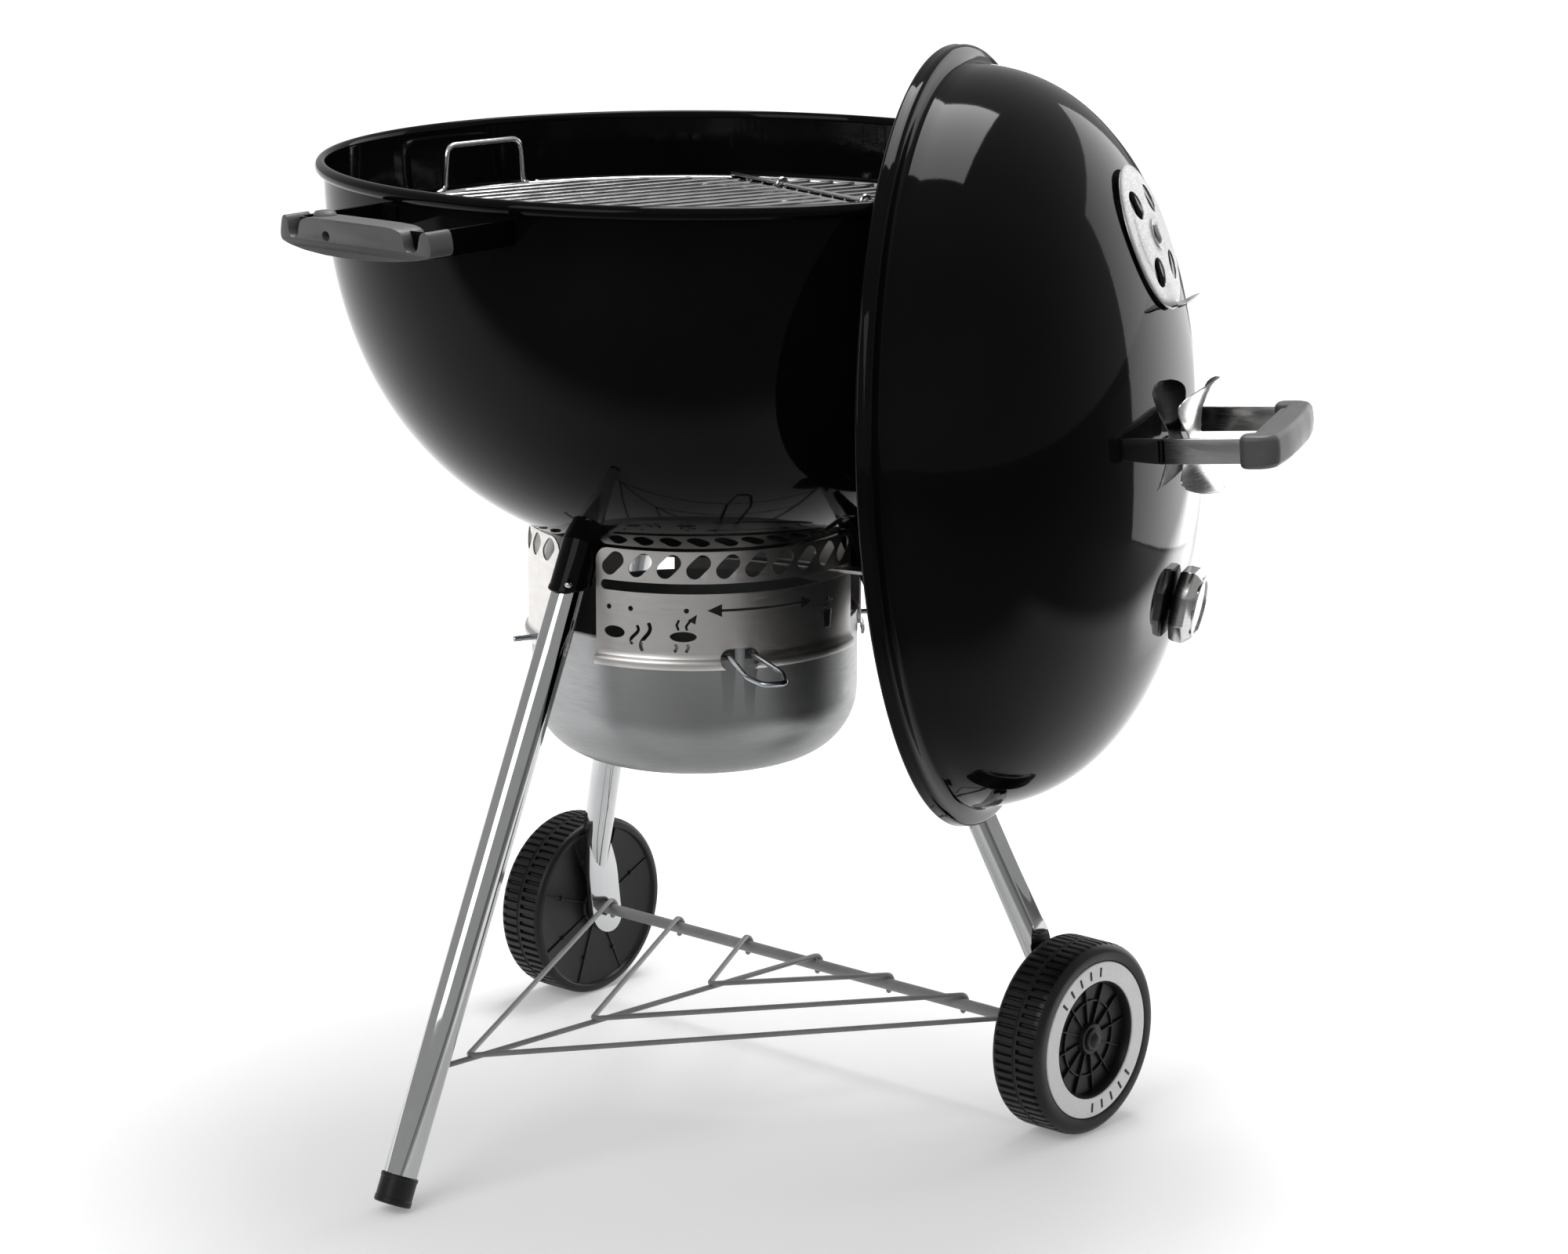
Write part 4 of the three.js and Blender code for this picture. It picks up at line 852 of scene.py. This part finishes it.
def add_wheel(name, side):
    joint = JOINTS[f"{name}_wheel_roll"]
    outward = Vector(joint["axis"]) * side
    place = along(Vector(joint["pos_m"]) / MM, outward)
    half, r = WHEEL_HALF, WHEEL_R
    shoulder = arc((r - 8, half - 8), 8, 20, 80, 7)
    heel = [(radius, -z) for radius, z in reversed(arc((r - 5, half - 5), 5, 15, 80, 6))]
    rows = [(r, z) for z in (-17.4, -17.2, -10, -2.1, -1.9)] + [(r - 0.9, -1.2), (r - 0.9, 1.2)]
    rows += [(r, z) for z in (1.9, 2.1, 9, 14.2, 14.4)]
    front = [(64.6, half - 0.2), (63.2, half - 0.9), (62.6, half - 2), (46.4, half - 2),
             (45.6, half - 1.2), (44.9, half - 2.4), (44, half - 9), (40, half - 9.5), (15, half - 9.5),
             (13.4, half - 9), (12, half - 4.4), (11, half - 4), (5.1, half - 4)]
    back = [(5.1, 2 - half), (14.5, 2 - half), (15.4, 2.6 - half), (16, 3.4 - half), (66, 3.4 - half),
            (67.4, 3 - half), (68.6, 0.6 - half), (69.6, -half)]
    tyre = turned([*back, *heel, *rows, *shoulder, *front], 66 * 8)
    piece(f"{name}_tyre", bent(tyre, tread), "black_plastic", f"{name}_wheel", place,
          stands_for=f"{name}_wheel", sharp=28)
    spokes = []
    for i in range(12):
        spoke = box((33, 1.2, 3.4), (28.6, 0, half - 8.6))
        spokes.append(placed(spoke, Matrix.Rotation(math.radians(30 * i + 8), 4, "Z")))
    for i in range(8):
        turn = Matrix.Rotation(math.radians(45 * i + 20), 4, "Z")
        rib = box((52, 1.1, 1.6), (41, 0, -half + 3))
        knob = turned([(0, 4 - half), (1.9, 4 - half), (1.9, 1.6 - half), (1.3, 1.2 - half),
                       (0, 1.2 - half)], 16)
        spokes += [placed(rib, turn), placed(placed(knob, Matrix.Translation((46, 0, 0))), turn)]
    spokes.append(turned([(29.4, half - 10), (30.8, half - 10), (30.8, half - 7.6),
                          (29.4, half - 7.6)], 72))
    piece(f"{name}_spokes", joined(*spokes), "black_plastic", f"{name}_wheel", place, bevel=0.25)

    ring = turned([(46.9, half - 1.8), (62.1, half - 1.8), (62.1, half - 0.8), (61.3, half - 0.2),
                   (47.7, half - 0.2), (46.9, half - 0.8)], 128)
    piece(f"{name}_white_ring", ring, "white_trim", f"{name}_wheel", place,
          stands_for=f"{name}_wheel_trim")
    bars = []
    for centre in (112, 292):
        for k in range(-2, 3):
            turn = Matrix.Rotation(math.radians(centre + 13 * k), 4, "Z")
            bars.append(placed(box((7.4, 2.1, 0.5), (54.5, 0, half - 0.1)), turn))
    piece(f"{name}_ring_bars", joined(*bars), "black_plastic", f"{name}_wheel", place, bevel=0.15)

    cap = turned([(0, half + 1.6), (2.4, half + 1.4), (4.6, half + 0.5), (5.8, half - 0.9),
                  (6.2, half - 1.4), (8.4, half - 1.6), (9.2, half - 2.4), (9.2, half - 4.2),
                  (AXLE_R + 0.3, half - 4.2), (AXLE_R + 0.3, half - 3.6), (0, half - 3.6)], 48)
    piece(f"{name}_cap", cap, "black_plastic", "grill", place, stands_for=f"{name}_hub_cap")


# ---------------------------------------------------------------- bowl handles

def strap_band(half, low, high, thick=2.4, wide=19, bend=9):
    """A flat strip bent into a U, open towards -y."""
    reach = half - 1.2
    corners = [(-reach, low), (-reach, high - 1.2), (reach, high - 1.2), (reach, low)]
    left, right = edges_of(rounded(corners, bend, 8, False), thick)
    return extruded([*left, *reversed(right)], -wide / 2, wide / 2)


def grip_front():
    """The bowl grip seen from in front: a bowed bar with a tool notch near each end."""
    half = [(0, 12.6), (30, 12.4), (42, 11.6), (48.5, 9.4), (50.6, 5), (51.4, -1.5), (54, -4.2),
            (60, -4.2), (62.6, -1), (63.2, 4), (64.6, 9.4), (67.4, 11.2), (70.4, 9.6), (72, 4), (73, -3),
            (71.6, -7), (62, -9.2), (44, -11.4), (22, -12.7)]
    mirrored = [(-x, z) for x, z in reversed(half[1:])]
    return rounded([*half, (0, -13), *mirrored], 2.4, 2)


def add_bowl_handle(side, azimuth):
    turn = KETTLE @ basis(polar(azimuth + 90, 1), polar(azimuth, 1), UP, (0, 0, HANDLE_Z))
    wall = math.sqrt(BOWL_R ** 2 - 64 ** 2)
    plug = turned([*reversed(bowl_wall(12, 0.3, 24)), (0, RIM_Z - 12)], 128)
    local_plug = placed(plug, turn.inverted() @ KETTLE)
    band = strap_band(64, wall - 14, 360)
    on_wall = lambda p: Vector((p.x, chord(BOWL_R + 1.4, p.x) + p.y, p.z))
    tabs = [bent(box((20, 2, 19), (s * 54, 0, 0)), on_wall) for s in (-1, 1)]
    rivets = []
    for s in (-1, 1):
        for up in (-4, 4):
            head = turned([(0, 0), (2.6, 0), (2.2, 1.2), (0, 1.9)], 20)
            x = s * 52
            rivets.append(placed(head, along((x, chord(BOWL_R + 2.4, x), up), (x, BOWL_R, 0))))
    piece(f"{side}_strap", band, "black_enamel", "grill", turn, stands_for=f"{side}_handle_strap",
          cutters=[local_plug], bevel=0.5, sharp=40)
    piece(f"{side}_strap_welds", joined(*tabs, *rivets), "black_enamel", "grill", turn,
          cutters=[local_plug], sharp=40)

    def bow(p):
        """The bar's faces bow outwards in the middle, and it is thinner at its ends."""
        x, z, depth = p.x, p.y, p.z
        share = (x / 73) ** 2
        reach = 1 - 0.12 * share
        if depth < 0:
            reach += 0.15 * ease(abs(x), 50, 58)
        return Vector((x, 361.5 - 6.5 * share + depth * reach, z))
    slices = [-12, -6, 0, 6, 12]
    outline = grip_front()
    bar = bent(lofted([[(x, z, y) for x, z in outline] for y in slices]), bow)
    hole = placed(turned([(0, 0), (3.6, 0), (3.6, 30), (0, 30)], 32), along((-24, 362, 0), (0, 1, 0)))
    piece(f"{side}_grip", bar, "grip_nylon", "grill", turn, stands_for=f"{side}_handle_grip",
          cutters=[hole], bevel=2.6, sharp=50)
    lug = turned([(0, 0), (8, 0), (8.4, 1.2), (7, 3.4), (3, 4.2), (0, 4.3)], 32)
    lug = placed(lug, Matrix.Translation((-38, 356, 11.5)))
    piece(f"{side}_grip_lug", lug, "grip_nylon", "grill", turn, sharp=50)


# ---------------------------------------------------------------- lid

lift = JOINTS["lid_lift_off"]["axis"]
LID_AZIMUTH = math.degrees(math.atan2(lift[0], -lift[1]))


def dome_radius(h, offset=0.0):
    return (DOME_R + offset) * oval(h / (DOME_DEPTH + offset), DOME_POWER)


def dome_height(r, offset=0.0):
    """Height of the dome above its rim at a distance from its middle."""
    return (DOME_DEPTH + offset) * oval(r / (DOME_R + offset), DOME_POWER)


def lid_matrix():
    """The lid's own frame: origin at its rim's centre, +Z out to the dome's middle, +Y up."""
    tilt = math.radians(LID_TILT)
    out = polar(LID_AZIMUTH, math.cos(tilt), math.sin(tilt))
    up = polar(LID_AZIMUTH, -math.sin(tilt), math.cos(tilt))
    pivot = Vector(JOINTS["lid_damper_turn"]["pos_m"]) / MM
    return basis(up.cross(out), up, out, pivot - up * DAMPER_Y - out * dome_height(DAMPER_Y))


LID = lid_matrix()


def on_dome(y, x=0.0):
    """The matrix that stands a shape made along +Z on the dome, square to its surface."""
    r = math.hypot(x, y)
    fall = (dome_height(r + 0.5) - dome_height(r - 0.5)) / r
    normal = Vector((-x * fall, -y * fall, 1)).normalized()
    side = Vector((1, 0, 0))
    side = (side - normal * side.dot(normal)).normalized()
    return basis(side, normal.cross(side), normal, (x, y, dome_height(r)))


def drill(radius, low, high, x=0.0, y=0.0, segments=36):
    hole = turned([(0, low), (radius, low), (radius, high), (0, high)], segments)
    return placed(hole, Matrix.Translation((x, y, 0)))


def add_lid():
    def wall(start, offset):
        """(radius, height) points from a height up to the dome's middle."""
        rise = DOME_DEPTH + offset - start
        heights = [start + rise * math.sin(QUARTER * i / 60) for i in range(60)]
        return [*((dome_radius(h, offset), h) for h in heights), (0, start + rise)]
    curl = arc((LID_R - 2.6, 2.8), 2.6, -150, 0, 8)
    shoulder = rounded([(LID_R - 0.2, 3.4), (LID_R - 0.4, 11.2), (DOME_R + 5, 13.6), (DOME_R + 0.6, 16),
                        (DOME_R - 0.4, 20)], 5, 5, False)
    under = rounded([(DOME_R - 2, 19), (DOME_R + 2.6, 11.8), (LID_R - 3.2, 9.6), (LID_R - 3, 5.6)],
                    3, 4, False)
    outline = [*reversed(wall(22, 0)), *reversed(shoulder), *reversed(curl), *reversed(under),
               *wall(20, -SHEET)]
    holes = [placed(drill(10.5, -25, 15, x, y), on_dome(DAMPER_Y)) for x, y in DAMPER_HOLES]
    holes += [placed(drill(5.2, -20, 10), on_dome(THERMOMETER_Y)),
              placed(drill(3.2, -20, 10), on_dome(DAMPER_Y))]
    piece("lid_dome", turned(outline, 224), "black_enamel", "lid", LID, stands_for="lid",
          cutters=holes, sharp=40)


def add_lid_damper():
    """A dished plate with four holes, standing off the dome, and its T-shaped tab."""
    dish = lambda r: -r * r * 0.0017
    over = [(0, 4.8), (9, 4.8), (10.5, 5.5), (12, 5.5), (13.4, dish(14) + 4.8)]
    over += [(r, dish(r) + 4.8) for r in (20, 28, 36, 41)]
    over += [(42.4, dish(42) + 4.5), (44, dish(44) + 4.6), (50, dish(50) + 4.8), (54.6, dish(54) + 4.8),
             (DAMPER_R, dish(DAMPER_R) + 4.4)]
    under = [(DAMPER_R, dish(DAMPER_R) + 3.7)]
    under += [(r, dish(r) + 3.4) for r in (54, 46, 36, 28, 20, 10)] + [(0, 3.4)]
    holes = [drill(11.2, -20, 20, x, y, 40) for x, y in DAMPER_HOLES]
    plate = turned(over + under, 144)
    ride_on = LID @ on_dome(DAMPER_Y)
    piece("damper_plate", plate, "damper_aluminium", "lid_damper", ride_on, stands_for="lid_damper",
          cutters=[*holes, drill(3.3, -20, 20)], bevel=0.3, sharp=40)

    # The tab is folded square to the plate: a neck, then a bar across it.
    plan = rounded([(-9, -2), (9, -2), (9.5, 7), (26, 10), (26, 17), (-26, 17), (-26, 10),
                    (-9.5, 7)], 4, 5)
    shelf = extruded(plan, -0.8, 0.8)
    shelf = bent(shelf, lambda p: Vector((p.x, -DAMPER_R + 2.2 - p.z, p.y - 2.4)))
    piece("damper_tab", shelf, "damper_aluminium", "lid_damper", ride_on, bevel=0.3)

    head = turned([(0, -4), (2.8, -4), (2.8, 5.6), (7.2, 5.6), (7.4, 6.2), (6.4, 7.2), (4, 8),
                   (0, 8.3)], 40)
    piece("damper_rivet", head, "damper_aluminium", "lid", ride_on, stands_for="lid_damper_rivet")
    washer = turned([(3.2, 0.9), (10, 0.9), (10.4, 1.4), (10.4, 2.8), (10, 3.2), (3.2, 3.2)], 40)
    piece("damper_washer", washer, "damper_aluminium", "lid", ride_on)


def add_thermometer():
    """A bezel with eight flats in two steps, a round raised lip, a dial and its window."""
    seat = LID @ on_dome(THERMOMETER_Y)
    outline = [(0, 1.4), (27.4, 1.4), (28.6, 2.4), (29.8, 5.6), (29.8, 12.4), (29.2, 13.2), (24.2, 18.4),
               (23.4, 18.8), (0, 18.8)]
    well = drill(21.2, 13.6, 40, segments=64)
    piece("thermometer_barrel", turned(outline, 8, 0.5), "bright_steel", "lid", seat,
          stands_for="thermometer_bezel", cutters=[well], bevel=0.6, sharp=24)
    lip = turned([(20.6, 15), (20.6, 18.8), (21.4, 19.6), (22.8, 19.6), (23.4, 18.8), (23.4, 17.8),
                  (21.6, 17.6), (21.2, 15)], 72)
    piece("thermometer_lip", lip, "leg_chrome", "lid", seat)
    face = turned([(0, 13.8), (20.4, 13.8), (20.4, 15.8), (19.8, 16.2), (0, 16.2)], 64)
    piece("thermometer_face", face, "dial_face", "lid", seat, stands_for="thermometer_dial")
    marks = []
    for i in range(25):
        size, radius = ((2, 0.4, 0.16), 18) if i % 4 else ((3.6, 0.7, 0.16), 17.2)
        turn = Matrix.Rotation(math.radians(-30 + 10 * i), 4, "Z")
        marks.append(placed(box(size, (radius, 0, 16.3)), turn))
    needle = extruded([(-1.1, -4.5), (1.1, -4.5), (0.35, 14.5), (-0.35, 14.5)], 16.6, 16.9)
    marks += [placed(needle, Matrix.Rotation(math.radians(118), 4, "Z")), drill(2.2, 16.2, 17.2, segments=24)]
    piece("thermometer_marks", joined(*marks), "black_plastic", "lid", seat)
    window = turned([(0, 17.4), (20.5, 17.4), (20.5, 18.2), (0, 18.3)], 64)
    glass = piece("thermometer_window", window, "dial_face", "lid", seat)
    glass.data.materials.clear()
    glass.data.materials.append(GLASS)
    del glass["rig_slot"]


def add_lid_handle():
    """A bright strap bent into a U, a two-part grip, and a flared heat shield behind it."""
    upright = LID @ basis(Vector((1, 0, 0)), Vector((0, 0, 1)), Vector((0, -1, 0)))
    dome_plug = turned([(0, -1), *[(dome_radius(169 * i / 40, 0.3), 169 * i / 40) for i in range(41)],
                        (0, DOME_DEPTH + 0.3)], 96)
    local_plug = placed(dome_plug, upright.inverted() @ LID)
    band = strap_band(68, 158, 241, 2.2, 19, 10)
    piece("lid_strap", band, "bright_steel", "lid", upright, stands_for="lid_handle_strap",
          cutters=[local_plug], bevel=0.5, sharp=40)
    feet = []
    for s in (-1, 1):
        stud = turned([(0, 2.4), (3.4, 2.4), (2.8, 3.6), (0, 4.2)], 24)
        feet.append(placed(joined(box((22, 17, 2.2), (0, 0, 1.5)), stud), on_dome(0.01, s * 57)))
    piece("lid_strap_feet", joined(*feet), "black_enamel", "lid", LID, bevel=0.6, sharp=40)

    outer = [(-77, 225), (-77, 245), (-70, 253), (-40, 256.2), (0, 257), (40, 256.2), (70, 253),
             (77, 245), (77, 225), (60, 225), (57, 236), (-57, 236), (-60, 225)]
    plan = rounded(outer, 9, 6)
    slices = [-12.4, -8.6, -4.2, 0, 4.2, 8.6, 12.4]
    grip = lofted([[(x, y, z) for x, y in plan] for z in slices])
    swell = lambda p: Vector((p.x, p.y + (0.9 - (p.z / 14) ** 2 * 2.2) * (p.y > 242), p.z))
    piece("lid_grip", bent(grip, swell), "grip_nylon", "lid", upright, stands_for="lid_handle_grip",
          bevel=4.4, sharp=50)
    pad = rounded([(-50, 232.6), (50, 232.6), (53, 237), (-53, 237)], 2, 3)
    piece("lid_grip_pad", extruded(pad, -10.5, 10.5), "grip_nylon", "lid", upright, bevel=1.6, sharp=50)

    top, bottom = [], []
    rows = 26
    reach = 42
    for i in range(rows + 1):
        y = reach * (2 * i / rows - 1)
        share = abs(y) / reach
        half = 19 + 31 * math.sin(min(share * 1.25, 1) * QUARTER) ** 1.4
        half *= math.sqrt(max(1 - max(share - 0.62, 0) ** 2 / 0.15, 0.02))
        spread = [half * math.sin(QUARTER * (j / 12 - 1)) for j in range(25)]
        flare = 22 * share ** 1.5 + 3 * math.exp(-(y / 9) ** 2)
        lift_up = lambda x: DOME_DEPTH + 4.4 + flare - 15 * (x / 50) ** 2 * share ** 0.8
        top.append([Vector((x, y, lift_up(x) + 1)) for x in spread])
        bottom.append([Vector((x, y, lift_up(x))) for x in spread])
    piece("heat_shield", skin(top, bottom), "bright_steel", "lid", LID, stands_for="lid_heat_shield",
          sharp=60)


# ---------------------------------------------------------------- grates

GRATES = KETTLE @ Matrix.Rotation(math.radians(GRATE_TURN), 4, "Z")


def rods(radius, low, high, z, pitch, thick):
    """Parallel rods along x inside a circle, between two chords."""
    found = []
    count = int(radius / pitch)
    for i in range(-count, count + 1):
        reach = chord(radius, i * pitch)
        a, b = max(low, -reach), min(high, reach)
        if b - a > 6:
            found.append(wire([(a, i * pitch, z), (b, i * pitch, z)], thick, 10))
    return found


def rim_arc(radius, start, end, z, thick, steps=40):
    return wire([(x, y, z) for x, y in arc((0, 0), radius, start, end, steps)], thick, 12)


def add_cooking_grate():
    edge = math.degrees(math.acos(HINGE_OUT / GRATE_R))
    bars = rods(GRATE_R, -HINGE_OUT + 3, HINGE_OUT - 3, GRATE_Z, ROD_PITCH, ROD_WIRE)
    for start in (0, 180):
        bars.append(rim_arc(GRATE_R, start + edge, start + 180 - edge, GRATE_Z - 0.2, RIM_WIRE))
    for x in (-90, 90):
        y = chord(GRATE_R, x)
        bars.append(wire([(x, -y, GRATE_Z - 5.2), (x, y, GRATE_Z - 5.2)], RIM_WIRE, 12))
    for side in (-1, 1):
        y = chord(GRATE_R, HINGE_OUT)
        x = side * HINGE_OUT
        bars.append(wire([(x, -y, HINGE_Z), (x, y, HINGE_Z)], EDGE_WIRE, 14))
        x = side * (HINGE_OUT - 4)
        bars.append(wire([(x, -y, GRATE_Z), (x, y, GRATE_Z)], EDGE_WIRE, 12))
    for azimuth in (-156.5, 23.5):
        local = azimuth - GRATE_TURN
        foot = lambda t, z: polar(local, GRATE_R - 3.5, z) + polar(local + 90, t)
        path = [foot(-48, GRATE_Z + 0.5), foot(-40, GRATE_Z + 3), foot(-37, GRATE_Z + 38),
                foot(37, GRATE_Z + 38), foot(40, GRATE_Z + 3), foot(48, GRATE_Z + 0.5)]
        bars.append(wire(path, 2.4, 14, 9))
    piece("grate_rods", joined(*bars), "plated_wire", "cooking_grate", GRATES, stands_for="cooking_grate")

    curl_turns = [math.radians(a) for a in range(-200, 91, 20)]
    for name, side in (("left", -1), ("right", 1)):
        flap = rods(GRATE_R, HINGE_OUT + 8, GRATE_R, GRATE_Z, ROD_PITCH, ROD_WIRE)
        flap.append(rim_arc(GRATE_R, -edge + 2.6, edge - 2.6, GRATE_Z - 0.2, RIM_WIRE))
        y = chord(GRATE_R, HINGE_OUT + 10) - 3
        flap.append(wire([(HINGE_OUT + 10, -y, GRATE_Z), (HINGE_OUT + 10, y, GRATE_Z)], EDGE_WIRE, 12))
        for k in (-7.5, 0.5, 7.5):
            y = k * ROD_PITCH * side
            curl = [(HINGE_OUT + 4.4 * math.sin(t), y, HINGE_Z + 4.4 * math.cos(t)) for t in curl_turns]
            tail = [(HINGE_OUT + 6.5, y, GRATE_Z + 2), (HINGE_OUT + 12, y, GRATE_Z + 2.4)]
            flap.append(wire([*curl, *tail], 1.5, 8))
        turn = GRATES @ Matrix.Rotation(0 if side > 0 else math.pi, 4, "Z")
        piece(f"{name}_flap_rods", joined(*flap), "plated_wire", f"{name}_grate_flap", turn,
              stands_for=f"{name}_grate_flap")

    coals = rods(COALS_R, -COALS_R, COALS_R, COALS_Z, 24, COALS_WIRE)
    circle = [(x, y, COALS_Z) for x, y in arc((0, 0), COALS_R, 0, 357, 119)]
    coals.append(wire(circle, COALS_WIRE, 12, closed=True))
    for x in (-75, 75):
        y = chord(COALS_R, x)
        coals.append(wire([(x, -y, COALS_Z + 5.6), (x, y, COALS_Z + 5.6)], COALS_WIRE, 12))
    piece("coal_rods", joined(*coals), "plated_wire", "grill", GRATES, stands_for="charcoal_grate")


# ---------------------------------------------------------------- everything

add_bowl()
add_sweeper()
add_guard()
add_bucket()
for leg, azimuth in LEGS.items():
    add_leg(leg, azimuth, {"foot_leg": 0, "right_wheel_leg": 1, "rear_wheel_leg": -1}[leg])
add_rack()
add_foot_cap()
add_wheel("right", 1)
add_wheel("rear", -1)
add_bowl_handle("left", -58)
add_bowl_handle("right", 122)
add_lid()
add_lid_damper()
add_thermometer()
add_lid_handle()
add_cooking_grate()


# ---------------------------------------------------------------- studio

VIEW_RIGHT = (0.946, -0.324, 0)         # the camera's right, along the floor


def add_floor():
    """A wide floor: a white sweep behind and beside the grill, and a greyer floor in front of it."""
    mesh = bpy.data.meshes.new("floor")
    reach = 40
    corners = [(-reach, -reach, 0), (reach, -reach, 0), (reach, reach, 0), (-reach, reach, 0)]
    mesh.from_pydata(corners, [], [(0, 1, 2, 3)])
    floor = linked("floor", mesh)
    n = Nodes("floor")
    sheet = []
    for across, edge, fade in (((0.322, 0.947, 0), -0.40, 0.35), ((-0.876, 0.4825, 0), -1.0, 0.25)):
        inputs = {"Value": n.distance(across), "From Min": edge - fade, "From Max": edge}
        sheet.append(n.add("MapRange", inputs, interpolation_type="SMOOTHSTEP").outputs["Result"])
    white = n.maths("MULTIPLY", *sheet)
    away = n.add("VectorMath", {0: n.place()}, operation="LENGTH").outputs["Value"]
    far_glow = n.spread(away, 0.2, 0.68, 0.4, 1.5)
    aside = n.spread(n.distance(VIEW_RIGHT), 0, 1.7, 0.85, 1.1)
    behind = n.spread(n.distance((0, 1, 0)), 0, 1, 0.08, 0.3)
    glow = n.maths("ADD", far_glow, n.maths("MULTIPLY", aside, behind))
    n.set(Base_Color=n.mix(white, tone(0.3), tone(0.88)), Roughness=0.9, Specular_IOR_Level=0.1,
          Emission_Color=n.mix(white, tone(0.02), tone(1)), Emission_Strength=glow)
    mesh.materials.append(n.material)


def add_softbox(name, place, target, size, power):
    """A soft rectangular light, aimed at a point."""
    data = bpy.data.lights.new(name, "AREA")
    data.shape = "RECTANGLE"
    data.size, data.size_y = size
    data.energy = power
    lamp = linked(name, data)
    lamp.location = place
    lamp.rotation_mode = "QUATERNION"
    lamp.rotation_quaternion = (Vector(target) - Vector(place)).to_track_quat("-Z", "Y")


def add_sky():
    """An even light from nearly the whole sky, and a dim grey all round."""
    data = bpy.data.lights.new("overhead", "SUN")
    data.energy = 0.9
    data.angle = math.radians(178)
    linked("overhead", data)
    world = bpy.data.worlds.new("studio")
    world.use_nodes = True
    background = world.node_tree.nodes["Background"]
    background.inputs["Color"].default_value = tone(1)
    background.inputs["Strength"].default_value = 0.16
    bpy.context.scene.world = world
    bpy.context.scene.view_settings.view_transform = "Standard"


def add_camera():
    place = Vector((-1.0452, -3.1472, 1.1827))
    forward = Vector((0.3153, 0.9198, -0.2337)).normalized()
    right = (Vector((0.94596, -0.32430, 0)) + UP * 0.0036).normalized()
    right = (right - forward * right.dot(forward)).normalized()
    data = bpy.data.cameras.new("camera")
    data.lens = 100.75
    data.sensor_width = 36
    camera = linked("camera", data)
    camera.matrix_world = basis(right, right.cross(forward), -forward, place)
    bpy.context.scene.camera = camera


add_floor()
add_softbox("right_panel", (1.82, 0.8, 0.76), (0.9, 0.34, 0.76), (1.3, 1.5), 10.5)
add_softbox("lid_box", (0.4, 0.4, 2.5), (0.1, -0.2, 0.79), (1.0, 1.3), 40)
add_softbox("front_left_box", (-1.95, -1.3, 1.8), (0, 0, 0.4), (1.5, 1.5), 22)
add_sky()
add_camera()
